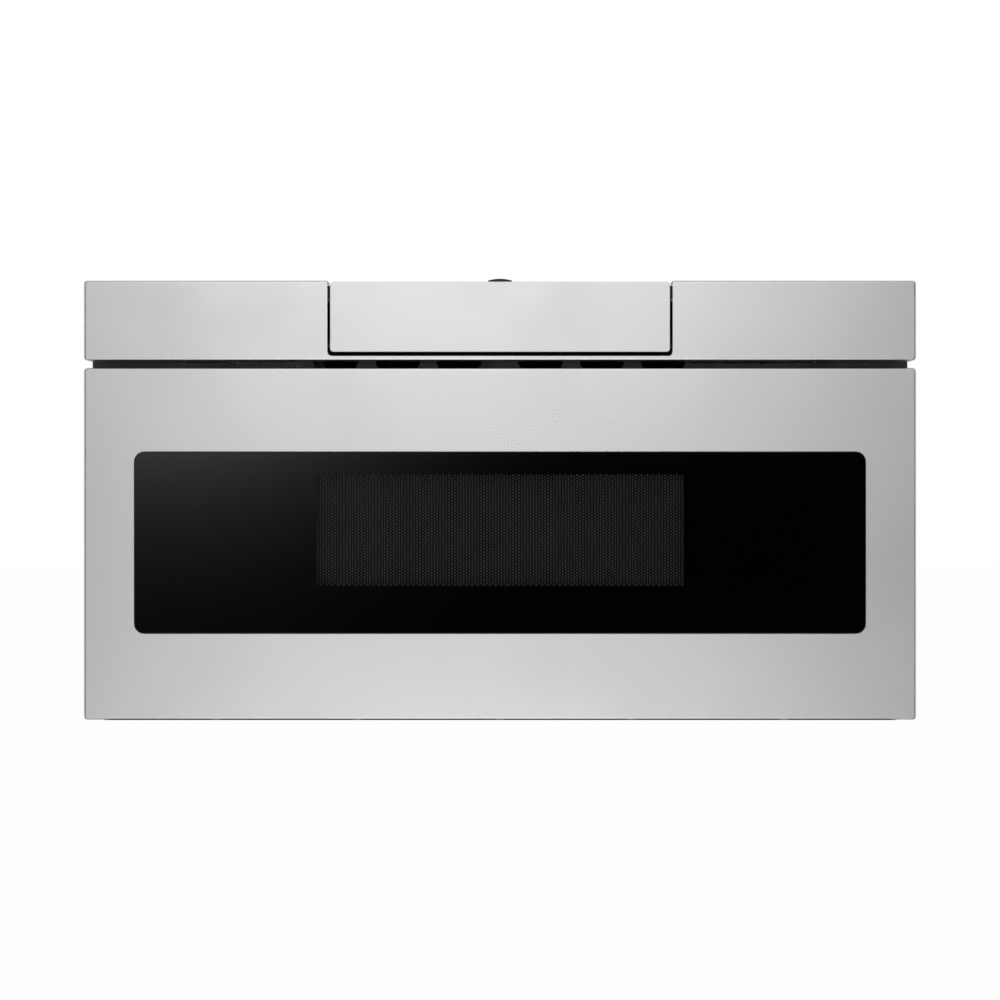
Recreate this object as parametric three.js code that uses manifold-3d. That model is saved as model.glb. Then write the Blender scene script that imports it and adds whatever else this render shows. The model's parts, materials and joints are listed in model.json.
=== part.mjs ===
// Microwave drawer for a 30 inch kitchen cabinet: a built-in oven whose heated bowl slides out of
// the front on powered rails. Millimetres, +Z up, the front faces -Y.
// While the pieces are made, y = 0 is the face of the front and y grows towards the wall,
// z = 0 is the lowest edge of the door, and x = 0 is the middle. The last lines move the whole
// object so that its origin is the middle of its base.

import * as THREE from 'three';
import { mergeVertices } from 'three/addons/utils/BufferGeometryUtils.js';
import Module from 'manifold-3d';

const wasm = await Module();
wasm.setup();

// ---------------------------------------------------------------- driving dimensions

// Fits and materials' gauges
const SEAT = 0.3; // gap between two pieces that are fastened together
const RUN = 0.6; // running gap between pieces that slide on each other
const SHEET = 1.2; // steel sheet of the cabinet, the cavity and the front
const PLATE = 1.8; // steel of the brackets that carry the drawer

// Front
const FRONT_WIDTH = 759;
const FRONT_DEPTH = 38; // from the face of the front to the cabinet's face frame
const FRONT_EDGE = 2.2; // radius of the folded edges of the stainless skins
const FRONT_CORNER = 3;
const DOOR_BOTTOM = 0.3;
const DOOR_TOP = 321.1;
const TRIM_GAP = 6.9; // open air outlet between the door and the strip above it
const TRIM_HEIGHT = 72.8;
const SKIN_DEPTH = 36;

// Door glass and window
const GLASS_WIDTH = 666.6;
const GLASS_BOTTOM = 79;
const GLASS_HEIGHT = 165.6;
const GLASS_THICK = 4;
const GLASS_CORNER = 9;
const GLASS_SUNK = 0.4; // the glass lies this far behind the face of the skin
const WINDOW_WIDTH = 335.8;
const WINDOW_BOTTOM = 122.1;
const WINDOW_HEIGHT = 102;

// Folded bottom edge of the door
const HEM_RELIEF = 0.9; // height cut away between the tabs of the skin's bottom edge
const HEM_TAB = 6;
const HEM_TAB_DEPTH = 1.5;
const HEM_TABS = [-259, -129.5, 0, 119.5, 259];
const HEM_END = 356; // the relief reaches this far from the middle
const BOTTOM_TRIM_WIDTH = 722;
const BOTTOM_TRIM_THICK = 0.9;

// Cabinet body
const BODY_WIDTH = 711;
const BODY_BOTTOM = 13.5;
const BODY_DEPTH = 590;
const FLANGE_INSET = 3; // how far the front plate stays inside the front's outline at each side
const FLANGE_BOTTOM = 2;
const BEAD_RISE = 1.6; // height of the stiffening beads pressed in the sheets
const BEAD_HALF = 9;
const BEAD_SLOPE = 3;

// Oven cavity
const CAVITY_WIDTH = 440;
const CAVITY_HEIGHT = 182;
const CAVITY_DEPTH = 420.5;
const CAVITY_FLOOR = 81;
const CAVITY_FLANGE = 42; // width of the face that the choke closes on

// Bowl of the drawer
const TUB_WIDTH = 420;
const TUB_HEIGHT = 106;
const TUB_DEPTH = 404;
const TUB_WALL = 2;
const TUB_CORNER = 30;
const TUB_RIM = 4;
const TUB_LIFT = 3.5; // height of the bowl over the cavity floor
const TUB_SILL = 26; // height of the low front wall of the bowl
const TUB_FILLET = 8; // inside radius between the walls and the floor
const TRAY_SIDE_ROOM = 10; // between the tray and the inside of the bowl
const TRAY_END_ROOM = 9;
const TRAY_THICK = 5;
const TRAY_RIM = 2.5;

// Slides, bracket and drive
const TRAVEL = 381;
const SLIDE_LENGTH = 500;
const SLIDE_HEIGHT = 45;
const SLIDE_CENTRE = 44.5;
const SLIDE_FACE = 262; // distance of the outer member's web from the middle
const SLIDE_SHEET = 1.5;
const SLIDE_FRONT = 45;
const GEAR_MODULE = 2;
const PINION_TEETH = 18;
const PRESSURE_ANGLE = THREE.MathUtils.degToRad(20);
const PINION_WIDTH = 8;
const PINION_Y = 75;
const PINION_Z = 36.5;
const SHAFT_RADIUS = 4;
const RACK_WIDTH = 9.7;
const RACK_HEIGHT = 10.4;

// Swinging control panel
const CONTROL_WIDTH = 310;
const CONTROL_LEDGE = 4; // height of the strip that runs on under the control panel
const CONTROL_TOP_GAP = 1.1; // from the top of the cover to the top of the strip
const CONTROL_SIDE_GAP = 2.4;
const CONTROL_FLOOR_GAP = 3.7;
const PIVOT_Y = 8;
const PIVOT_RISE = 5.3; // height of the pivot over the cover's lower edge
const PIVOT_RADIUS = 2.5;
const CARRIER_RADIUS = 53.5; // back of the carrier, round the pivot
const SWING_CLEAR = 1; // from the top cover to the carrier as it swings out
const CARRIER_WALL = 2;
const CONTROL_GLASS_LENGTH = 38;
const CONTROL_GLASS_THICK = 2.5;
const CONTROL_GLASS_WIDTH = 298;
const CONTROL_FACE_ANGLE = THREE.MathUtils.degToRad(22.5); // of the glass below the horizontal
const BUMP_WIDTH = 22;
const BUMP_RISE = 1.65;

// Parts of the oven above and behind the cavity
const DOME_WIDTH = 170;
const DOME_DEPTH = 160;
const DOME_HEIGHT = 26;
const STIRRER_Y = 250;
const STIRRER_RADIUS = 66;
const GUIDE_WIDTH = 96;
const GUIDE_HEIGHT = 45;
const GUIDE_BACK = 580;
const MAGNETRON_Y = 520;
const FAN_RADIUS = 58;
const FAN_Y = 535;
const FAN_Z = 236;
const FAN_X = -100;

// ---------------------------------------------------------------- derived places

const HALF_FRONT = FRONT_WIDTH / 2;
const TRIM_BOTTOM = DOOR_TOP + TRIM_GAP;
const TRIM_TOP = TRIM_BOTTOM + TRIM_HEIGHT;
const GLASS_TOP = GLASS_BOTTOM + GLASS_HEIGHT;
const WINDOW_TOP = WINDOW_BOTTOM + WINDOW_HEIGHT;
const HALF_BODY = BODY_WIDTH / 2;
const FLANGE_BACK = FRONT_DEPTH + SHEET;
const FLANGE_HALF = HALF_FRONT - FLANGE_INSET;
const FLANGE_TOP = TRIM_TOP - 1.8;
const BODY_BACK = FLANGE_BACK + BODY_DEPTH;
const INNER_BODY = HALF_BODY - SHEET - SEAT;
const HALF_CAVITY = CAVITY_WIDTH / 2;
const CAVITY_TOP = CAVITY_FLOOR + CAVITY_HEIGHT;
const CAVITY_FRONT = FLANGE_BACK + SEAT;
const CAVITY_BACK = CAVITY_FRONT + CAVITY_DEPTH;
const ROOF = CAVITY_TOP + SHEET;
const PAN_TOP = BODY_BOTTOM + SHEET;
const CONTROL_BOTTOM = TRIM_BOTTOM + CONTROL_LEDGE + CONTROL_FLOOR_GAP;
const CONTROL_TOP = TRIM_TOP - CONTROL_TOP_GAP;
const PIVOT_Z = CONTROL_BOTTOM + PIVOT_RISE;
const SWING_TOP = PIVOT_Z + Math.sqrt(CARRIER_RADIUS ** 2 - (CAVITY_FRONT - PIVOT_Y) ** 2);
const BODY_TOP = SWING_TOP + SWING_CLEAR + SHEET;
const CHOKE_HALF = HALF_CAVITY + CAVITY_FLANGE;
const CHOKE_BOTTOM = CAVITY_FLOOR - 19;
const CHOKE_TOP = CAVITY_TOP + 25;
const DOOR_BACK = SKIN_DEPTH - 0.2;
const TUB_FRONT = DOOR_BACK + SEAT;
const TUB_BOTTOM = CAVITY_FLOOR + TUB_LIFT;
const TUB_TOP = TUB_BOTTOM + TUB_HEIGHT;
const TRAY_WIDTH = TUB_WIDTH - 2 * (TUB_WALL + TRAY_SIDE_ROOM);
const TRAY_DEPTH = TUB_DEPTH - 2 * (TUB_WALL + TRAY_END_ROOM);

// ---------------------------------------------------------------- finishes

function finish(color, roughness, metalness, opacity = 1) {
  return new THREE.MeshStandardMaterial({
    color, roughness, metalness, opacity, transparent: opacity < 1, flatShading: true,
  });
}

const stainless = finish(0xd8d7d6, 0.32, 0.9);
const galvanised = finish(0xa9adb0, 0.45, 0.8);
const zincPlate = finish(0xb9bcc0, 0.35, 0.85);
const greyEnamel = finish(0x8f9192, 0.5, 0.1);
const blackPlastic = finish(0x141415, 0.55, 0);
const blackGlass = finish(0x08080a, 0.06, 0);
const darkScreen = finish(0x1d1d1f, 0.5, 0.2);
const clearGlass = finish(0xdfe6e6, 0.05, 0, 0.35);
const ceramicGlass = finish(0xe9e6dd, 0.18, 0);
const mica = finish(0xc8b48c, 0.7, 0);
const acetal = finish(0xe7e4da, 0.45, 0);
const copper = finish(0xb4643a, 0.4, 0.7);
const coreSteel = finish(0x4d4a47, 0.6, 0.6);
const boardGreen = finish(0x2c6a43, 0.6, 0);
const darkFrame = finish(0x3a3b3d, 0.45, 0.6);

// ---------------------------------------------------------------- shapes and solids

function outline(points) {
  return new THREE.Shape(points.map(([a, b]) => new THREE.Vector2(a, b)));
}

function rect(a0, a1, b0, b1) {
  return outline([[a0, b0], [a1, b0], [a1, b1], [a0, b1]]);
}

function arcPoints(a, b, r, from, to, steps) {
  const points = [];
  for (let i = 0; i <= steps; i += 1) {
    const angle = from + ((to - from) * i) / steps;
    points.push([a + r * Math.cos(angle), b + r * Math.sin(angle)]);
  }
  return points;
}

function roundRect(a0, a1, b0, b1, r, steps = 3) {
  const quarter = Math.PI / 2;
  return outline([
    ...arcPoints(a1 - r, b0 + r, r, -quarter, 0, steps),
    ...arcPoints(a1 - r, b1 - r, r, 0, quarter, steps),
    ...arcPoints(a0 + r, b1 - r, r, quarter, 2 * quarter, steps),
    ...arcPoints(a0 + r, b0 + r, r, 2 * quarter, 3 * quarter, steps),
  ]);
}

function disc(a, b, r, sides) {
  return outline(arcPoints(a, b, r, 0, Math.PI * 2 * (1 - 1 / sides), sides - 1));
}

// A closed mesh becomes a solid once its shared corners are merged and slivers are gone.
function toSolid(geometry) {
  const bare = geometry.clone();
  bare.deleteAttribute('normal');
  bare.deleteAttribute('uv');
  const merged = mergeVertices(bare, 1e-4);
  const index = Array.from(merged.index.array);
  const faces = [];
  for (let i = 0; i < index.length; i += 3) {
    const [a, b, c] = index.slice(i, i + 3);
    if (a !== b && b !== c && c !== a) faces.push(a, b, c);
  }
  return new wasm.Manifold(new wasm.Mesh({
    numProp: 3,
    vertProperties: new Float32Array(merged.attributes.position.array),
    triVerts: new Uint32Array(faces),
  }));
}

const toX = new THREE.Matrix4().makeBasis(
  new THREE.Vector3(0, 1, 0), new THREE.Vector3(0, 0, 1), new THREE.Vector3(1, 0, 0));
const toY = new THREE.Matrix4().makeBasis(
  new THREE.Vector3(1, 0, 0), new THREE.Vector3(0, 0, 1), new THREE.Vector3(0, -1, 0));

// prism('x') takes its outline in (y, z), prism('y') in (x, z) and prism('z') in (x, y).
function prism(axis, shape, from, to, round = 0) {
  const settings = { depth: to - from - 2 * round, bevelEnabled: round > 0 };
  if (round > 0) {
    Object.assign(settings, {
      bevelThickness: round, bevelSize: round, bevelOffset: -round, bevelSegments: 2,
    });
  }
  const geometry = new THREE.ExtrudeGeometry(shape, settings);
  if (axis === 'x') geometry.applyMatrix4(toX).translate(from + round, 0, 0);
  if (axis === 'y') geometry.applyMatrix4(toY).translate(0, to - round, 0);
  if (axis === 'z') geometry.translate(0, 0, from + round);
  return toSolid(geometry);
}

function box(x0, x1, y0, y1, z0, z1) {
  return prism('z', rect(Math.min(x0, x1), Math.max(x0, x1), y0, y1), z0, z1);
}

function rod(axis, a, b, r, from, to, sides = 16) {
  return prism(axis, disc(a, b, r, sides), from, to);
}

function join(first, ...others) {
  return others.reduce((sum, solid) => sum.add(solid), first);
}

function cut(first, ...others) {
  return others.reduce((rest, solid) => rest.subtract(solid), first);
}

const drawerPart = new THREE.Group();

function piece(name, solid, material) {
  const { numProp, vertProperties, triVerts } = solid.getMesh();
  const geometry = new THREE.BufferGeometry();
  geometry.setAttribute('position', new THREE.BufferAttribute(vertProperties, numProp));
  geometry.setIndex(new THREE.BufferAttribute(triVerts, 1));
  const mesh = new THREE.Mesh(geometry, material);
  mesh.name = name;
  drawerPart.add(mesh);
}

const SIDES = [['left', -1], ['right', 1]];

// ---------------------------------------------------------------- door: stainless skin

// A tray folded from sheet, open at the back, with rounded edges round its face.
function foldedTray(x0, x1, z0, z1, floorWall = SHEET) {
  const block = prism('y', roundRect(x0, x1, z0, z1, FRONT_CORNER), 0, SKIN_DEPTH + 2 * FRONT_EDGE,
    FRONT_EDGE);
  const inside = box(x0 + SHEET, x1 - SHEET, SHEET, SKIN_DEPTH * 2, z0 + floorWall, z1 - SHEET);
  const behind = box(x0 - 1, x1 + 1, SKIN_DEPTH, SKIN_DEPTH * 2, z0 - 1, z1 + 1);
  return cut(block, inside, behind);
}

function doorSkin() {
  const glassRoom = SEAT + 0.05;
  const opening = roundRect(
    -GLASS_WIDTH / 2 - glassRoom, GLASS_WIDTH / 2 + glassRoom,
    GLASS_BOTTOM - glassRoom, GLASS_TOP + glassRoom, GLASS_CORNER + glassRoom, 5);
  let skin = foldedTray(-HALF_FRONT, HALF_FRONT, DOOR_BOTTOM, DOOR_TOP, SHEET + HEM_RELIEF);
  skin = cut(skin, prism('y', opening, -1, SHEET + 1));
  const stops = [-HEM_END, ...HEM_TABS.flatMap((x) => [x - HEM_TAB / 2, x + HEM_TAB / 2]), HEM_END];
  const reliefTop = DOOR_BOTTOM + HEM_RELIEF;
  for (let i = 0; i < stops.length; i += 2) {
    skin = cut(skin, box(stops[i], stops[i + 1], -1, SKIN_DEPTH + 1, -1, reliefTop));
  }
  return cut(skin, box(-BOTTOM_TRIM_WIDTH / 2 - SEAT, BOTTOM_TRIM_WIDTH / 2 + SEAT,
    HEM_TAB_DEPTH, SKIN_DEPTH + 1, -1, reliefTop));
}
piece('door_skin', doorSkin(), stainless);

// ---------------------------------------------------------------- door: glass and black parts

piece('door_glass', prism('y',
  roundRect(-GLASS_WIDTH / 2, GLASS_WIDTH / 2, GLASS_BOTTOM, GLASS_TOP, GLASS_CORNER, 5),
  GLASS_SUNK, GLASS_SUNK + GLASS_THICK, 0.6), blackGlass);

const WEB_FRONT = GLASS_SUNK + GLASS_THICK + SEAT;
const WEB_THICK = 2.5;
const WEB_BACK = WEB_FRONT + WEB_THICK;
const FRAME_WALL = 3;
const BACK_PANEL_FRONT = DOOR_BACK - SEAT - SHEET;
const FRAME_BACK = BACK_PANEL_FRONT - SEAT;

// Moulded carrier: it fills the skin, holds the glass from behind and is stiffened by ribs.
function doorFrame() {
  const x = HALF_FRONT - SHEET - SEAT;
  const z0 = DOOR_BOTTOM + HEM_RELIEF + SHEET + SEAT;
  const z1 = DOOR_TOP - SHEET - SEAT;
  const skinBack = SHEET + SEAT;
  let frame = cut(
    box(-x, x, skinBack, FRAME_BACK, z0, z1),
    box(-x + FRAME_WALL, x - FRAME_WALL, 0, SKIN_DEPTH, z0 + FRAME_WALL, z1 - FRAME_WALL));
  frame = join(frame, box(-x + 1, x - 1, WEB_FRONT, WEB_BACK, z0 + 1, z1 - 1));
  const aroundGlass = (room, front, back) => box(-GLASS_WIDTH / 2 - room, GLASS_WIDTH / 2 + room,
    front, back, GLASS_BOTTOM - room, GLASS_TOP + room);
  frame = join(frame, cut(aroundGlass(8, skinBack, WEB_BACK), aroundGlass(2, 0, SKIN_DEPTH)));
  for (const z of [CHOKE_BOTTOM - 28, CHOKE_TOP + 10]) {
    frame = join(frame, box(-x + 1, x - 1, WEB_BACK - 1, FRAME_BACK, z, z + FRAME_WALL));
  }
  for (const [, side] of SIDES) {
    for (const ribX of [CHOKE_HALF + 12, CHOKE_HALF + 62]) {
      frame = join(frame, box(side * ribX, side * (ribX + FRAME_WALL), WEB_BACK - 1, FRAME_BACK,
        z0 + 1, z1 - 1));
    }
  }
  const windowRoom = 7;
  return cut(frame, box(
    -WINDOW_WIDTH / 2 - windowRoom, WINDOW_WIDTH / 2 + windowRoom, 0, SKIN_DEPTH,
    WINDOW_BOTTOM - windowRoom, WINDOW_TOP + windowRoom));
}
piece('door_frame', doorFrame(), blackPlastic);

// L-shaped trim under the door: its front edge is the dark line below the skin.
piece('door_bottom_trim', join(
  box(-BOTTOM_TRIM_WIDTH / 2, BOTTOM_TRIM_WIDTH / 2, HEM_TAB_DEPTH + SEAT, FRONT_DEPTH - 0.4, 0,
    BOTTOM_TRIM_THICK),
  box(-BOTTOM_TRIM_WIDTH / 2, BOTTOM_TRIM_WIDTH / 2, SKIN_DEPTH + SEAT, FRONT_DEPTH - 0.4, 0, 14),
), blackPlastic);

// ---------------------------------------------------------------- door: screen, choke and window

const SCREEN_FRONT = WEB_BACK + SEAT;
const SCREEN_THICK = 1;
const CHOKE_DEPTH = 18;
const CHOKE_PITCH = 34;
const CHOKE_SLOT = 6;
const CHOKE_LIP = 9;

// Steel inner panel of the door, with a rim folded back and an opening for the perforated sheet.
function doorScreen() {
  const panel = (inset, front, back) => box(-CHOKE_HALF + inset, CHOKE_HALF - inset, front, back,
    CHOKE_BOTTOM + inset, CHOKE_TOP - inset);
  const plate = panel(0, SCREEN_FRONT, SCREEN_FRONT + SCREEN_THICK);
  const rim = cut(panel(0, SCREEN_FRONT, SCREEN_FRONT + CHOKE_DEPTH + 3), panel(SHEET, 0, SKIN_DEPTH));
  return cut(join(plate, rim), box(
    -WINDOW_WIDTH / 2, WINDOW_WIDTH / 2, 0, SKIN_DEPTH, WINDOW_BOTTOM, WINDOW_TOP));
}
piece('door_screen', doorScreen(), galvanised);

const MESH_FRONT = SCREEN_FRONT + SCREEN_THICK + SEAT;
piece('window_mesh', box(
  -WINDOW_WIDTH / 2 - 5, WINDOW_WIDTH / 2 + 5, MESH_FRONT, MESH_FRONT + 0.6,
  WINDOW_BOTTOM - 5, WINDOW_TOP + 5), darkScreen);

// Microwave choke: a folded ring whose wall is slotted into a comb of teeth all the way round.
function chokeComb() {
  const front = MESH_FRONT;
  const back = front + CHOKE_DEPTH;
  const half = CHOKE_HALF - SHEET - 3;
  const z0 = CHOKE_BOTTOM + SHEET + 3;
  const z1 = CHOKE_TOP - SHEET - 3;
  const ring = (inset, from, to) => box(-half + inset, half - inset, from, to, z0 + inset, z1 - inset);
  const foot = CHOKE_LIP * 2; // width of the flange that is welded to the screen
  let comb = join(
    cut(ring(0, front, back), ring(SHEET, front + SHEET, SKIN_DEPTH), ring(foot, 0, SKIN_DEPTH)),
    cut(ring(0, back - SHEET, back), ring(CHOKE_LIP, 0, SKIN_DEPTH)));
  const slotFront = front + CHOKE_DEPTH * 0.35;
  const across = Math.floor((2 * half - CHOKE_PITCH) / CHOKE_PITCH);
  const up = Math.floor((z1 - z0 - CHOKE_PITCH) / CHOKE_PITCH);
  const midZ = (z0 + z1) / 2;
  for (let i = 0; i <= across; i += 1) {
    const x = (i - across / 2) * CHOKE_PITCH;
    for (const z of [z0, z1]) {
      comb = cut(comb, box(x - CHOKE_SLOT / 2, x + CHOKE_SLOT / 2, slotFront, back + 1,
        z - CHOKE_LIP - 1, z + CHOKE_LIP + 1));
    }
  }
  for (let i = 0; i <= up; i += 1) {
    const z = midZ + (i - up / 2) * CHOKE_PITCH;
    for (const x of [-half, half]) {
      comb = cut(comb, box(x - CHOKE_LIP - 1, x + CHOKE_LIP + 1, slotFront, back + 1,
        z - CHOKE_SLOT / 2, z + CHOKE_SLOT / 2));
    }
  }
  return comb;
}
piece('choke_comb', chokeComb(), zincPlate);

// Plastic cover over the choke: the face of the door that closes on the cavity.
const COVER_FRONT = MESH_FRONT + CHOKE_DEPTH + 3.5;
const COVER_LAP = 5;
const INNER_PANE = 3;
const COVER_MARGIN = 3; // how far the cover reaches past the screen
function chokeCover() {
  const half = CHOKE_HALF + COVER_MARGIN;
  const plate = prism('y', roundRect(-half, half, CHOKE_BOTTOM - COVER_MARGIN, CHOKE_TOP + COVER_MARGIN, 10),
    COVER_FRONT, DOOR_BACK, 1);
  const lap = COVER_LAP + SEAT;
  const pane = box(-WINDOW_WIDTH / 2 - lap, WINDOW_WIDTH / 2 + lap, 0, COVER_FRONT + INNER_PANE + SEAT,
    WINDOW_BOTTOM - lap, WINDOW_TOP + lap);
  const opening = prism('y', roundRect(
    -WINDOW_WIDTH / 2, WINDOW_WIDTH / 2, WINDOW_BOTTOM, WINDOW_TOP, 6), 0, SKIN_DEPTH * 2);
  return cut(plate, pane, opening);
}
piece('choke_cover', chokeCover(), blackPlastic);

piece('inner_window', box(-WINDOW_WIDTH / 2 - COVER_LAP, WINDOW_WIDTH / 2 + COVER_LAP,
  COVER_FRONT, COVER_FRONT + INNER_PANE, WINDOW_BOTTOM - COVER_LAP, WINDOW_TOP + COVER_LAP), clearGlass);

function doorBackPanel() {
  const x = HALF_FRONT - SHEET - SEAT;
  const z0 = DOOR_BOTTOM + HEM_RELIEF + SHEET + SEAT;
  const margin = COVER_MARGIN + SEAT;
  const half = CHOKE_HALF + margin;
  return cut(
    prism('y', roundRect(-x, x, z0, DOOR_TOP - SHEET - SEAT, 3), BACK_PANEL_FRONT, DOOR_BACK - SEAT),
    prism('y', roundRect(-half, half, CHOKE_BOTTOM - margin, CHOKE_TOP + margin, 10), 0, SKIN_DEPTH));
}
piece('door_back_panel', doorBackPanel(), greyEnamel);

// ---------------------------------------------------------------- bowl and tray

function openBowl(x, y0, y1, z0, z1, r) {
  return prism('z', outline([
    [-x, y0], [x, y0],
    ...arcPoints(x - r, y1 - r, r, 0, Math.PI / 2, 6),
    ...arcPoints(-x + r, y1 - r, r, Math.PI / 2, Math.PI, 6),
  ]), z0, z1);
}

// The bowl's outline stacked up to its full height, with a fillet between walls and floor.
function filletedBowl(x, y0, y1, z0, z1, r, fillet) {
  const slices = [0, 30, 60, 90].map((degrees) => {
    const turn = THREE.MathUtils.degToRad(degrees);
    const inset = fillet * (1 - Math.sin(turn));
    const z = z0 + fillet * (1 - Math.cos(turn));
    return openBowl(x - inset, y0, y1 - inset, z, z + 0.01, r - inset);
  });
  return wasm.Manifold.hull([...slices, openBowl(x, y0, y1, z1 - 0.01, z1, r)]);
}

// Enamelled bowl: low front sill, three high walls and a rim turned outwards round the top.
function drawerTub() {
  const x = TUB_WIDTH / 2;
  const back = TUB_FRONT + TUB_DEPTH;
  const wall = filletedBowl(x, TUB_FRONT, back, TUB_BOTTOM, TUB_TOP, TUB_CORNER, TUB_FILLET + TUB_WALL);
  const rim = openBowl(x + TUB_RIM, TUB_FRONT, back + TUB_RIM, TUB_TOP - TUB_WALL, TUB_TOP,
    TUB_CORNER + TUB_RIM);
  const inside = filletedBowl(x - TUB_WALL, TUB_FRONT + TUB_WALL, back - TUB_WALL, TUB_BOTTOM + TUB_WALL,
    TUB_TOP + 1, TUB_CORNER - TUB_WALL, TUB_FILLET);
  const mouthHalf = x - 14;
  const mouth = box(-mouthHalf, mouthHalf, 0, TUB_FRONT + TUB_WALL + 1, TUB_BOTTOM + TUB_SILL, TUB_TOP + 1);
  return cut(join(wall, rim), inside, mouth);
}
piece('drawer_tub', drawerTub(), greyEnamel);

function glassTray() {
  const z = TUB_BOTTOM + TUB_WALL + SEAT;
  const y0 = TUB_FRONT + TUB_WALL + TRAY_END_ROOM;
  const x = TRAY_WIDTH / 2;
  const lip = 8;
  const slab = prism('z', roundRect(-x, x, y0, y0 + TRAY_DEPTH, 24), z, z + TRAY_THICK + TRAY_RIM, 1);
  const dish = prism('z', roundRect(-x + lip, x - lip, y0 + lip, y0 + TRAY_DEPTH - lip, 18),
    z + TRAY_THICK, z + 2 * TRAY_THICK + TRAY_RIM);
  return cut(slab, dish);
}
piece('glass_tray', glassTray(), ceramicGlass);

// ---------------------------------------------------------------- slides

// The three members of a ball-bearing slide share one section drawing: u is the distance from the
// outer member's web towards the middle of the oven, v the height from the slide's centre line.
const RACE_TOP = SLIDE_HEIGHT / 2 - SLIDE_SHEET - RUN;
const OUTER_LIP = 12.7;
const MIDDLE_WEB = 6.5;
const RACE_HALF = 15;
const INNER_WEB = 14.6;

function slidePrism(side, points, y0, y1) {
  return prism('y', outline(points.map(([u, v]) => [side * (SLIDE_FACE - u), SLIDE_CENTRE + v])), y0, y1);
}

function slideBox(side, u0, u1, v0, v1, y0, y1) {
  return slidePrism(side, [[u0, v0], [u1, v0], [u1, v1], [u0, v1]], y0, y1);
}

function slideOuter(side) {
  const h = SLIDE_HEIGHT / 2;
  const t = SLIDE_SHEET;
  const end = SLIDE_FRONT + SLIDE_LENGTH;
  const channel = slidePrism(side, [
    [0, -h], [OUTER_LIP, -h], [OUTER_LIP, -h + 4], [OUTER_LIP - t, -h + 4], [OUTER_LIP - t, -h + t],
    [t, -h + t], [t, h - t], [OUTER_LIP - t, h - t], [OUTER_LIP - t, h - 4], [OUTER_LIP, h - 4],
    [OUTER_LIP, h], [0, h],
  ], SLIDE_FRONT, end);
  const holes = [0.1, 0.5, 0.9].map((share) => rod('x', SLIDE_FRONT + share * SLIDE_LENGTH, SLIDE_CENTRE, 3,
    side * SLIDE_FACE - 5, side * SLIDE_FACE + 5, 8));
  return cut(channel, ...holes);
}

function slideMiddle(side) {
  const t = SLIDE_SHEET;
  const near = SLIDE_SHEET + RUN;
  const far = OUTER_LIP - t - RUN;
  const y0 = SLIDE_FRONT + 1;
  const y1 = SLIDE_FRONT + SLIDE_LENGTH - 1;
  const web = slideBox(side, MIDDLE_WEB, MIDDLE_WEB + t, -RACE_HALF - 1, RACE_HALF + 1, y0, y1);
  const races = [-1, 1].map((up) => slideBox(side, near, far,
    Math.min(up * RACE_HALF, up * RACE_TOP), Math.max(up * RACE_HALF, up * RACE_TOP), y0, y1));
  return join(web, ...races);
}

function slideInner(side) {
  const t = SLIDE_SHEET;
  const h = RACE_HALF - RUN;
  const u0 = MIDDLE_WEB + t + RUN;
  const u1 = INNER_WEB + t;
  return slidePrism(side, [
    [u0, -h], [u1, -h], [u1, h], [u0, h], [u0, h - t], [INNER_WEB, h - t], [INNER_WEB, -h + t], [u0, -h + t],
  ], SLIDE_FRONT - 1, SLIDE_FRONT + SLIDE_LENGTH - 2);
}

// Angle that stands on the base pan and carries the outer member.
function slideBracket(side) {
  const x = SLIDE_FACE + SEAT;
  const foot = PAN_TOP + SEAT;
  const y0 = SLIDE_FRONT + 15;
  const y1 = SLIDE_FRONT + SLIDE_LENGTH - 15;
  const upright = box(side * x, side * (x + PLATE), y0, y1, foot, SLIDE_CENTRE + SLIDE_HEIGHT / 2 + 3);
  const flange = box(side * x, side * (x + 22), y0, y1, foot, foot + PLATE);
  const windows = [0.2, 0.5, 0.8].map((share) => {
    const y = y0 + share * (y1 - y0);
    return prism('x', roundRect(y - 30, y + 30, foot + 8, foot + 20, 5, 2), side * x - 4, side * x + 4);
  });
  return cut(join(upright, flange), ...windows);
}

// Angle that joins the door to the inner member.
const BRACKET_FACE = SLIDE_FACE - INNER_WEB - SLIDE_SHEET - SEAT;
const BRACKET_BOTTOM = SLIDE_CENTRE - 13;
const BRACKET_TOP = 66;
const BRACKET_FLANGE = 44;
function doorBracket(side) {
  const end = SLIDE_FRONT + SLIDE_LENGTH;
  const arm = box(side * (BRACKET_FACE - PLATE), side * BRACKET_FACE, TUB_FRONT, end - 10,
    BRACKET_BOTTOM, BRACKET_TOP);
  const flange = box(side * (BRACKET_FACE - BRACKET_FLANGE), side * BRACKET_FACE,
    DOOR_BACK, DOOR_BACK + PLATE, BRACKET_BOTTOM - 10, BRACKET_TOP);
  const relief = prism('x', outline([
    [end, BRACKET_TOP + 1], [end - 60, BRACKET_TOP + 1], [end, BRACKET_TOP - 20],
  ]), -HALF_BODY, HALF_BODY);
  return cut(join(arm, flange), relief);
}

for (const [label, side] of SIDES) {
  piece(`slide_outer_${label}`, slideOuter(side), zincPlate);
  piece(`slide_middle_${label}`, slideMiddle(side), zincPlate);
  piece(`slide_inner_${label}`, slideInner(side), zincPlate);
  piece(`slide_bracket_${label}`, slideBracket(side), galvanised);
  piece(`door_bracket_${label}`, doorBracket(side), galvanised);
}

// ---------------------------------------------------------------- rack, pinion and gear motor

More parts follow.
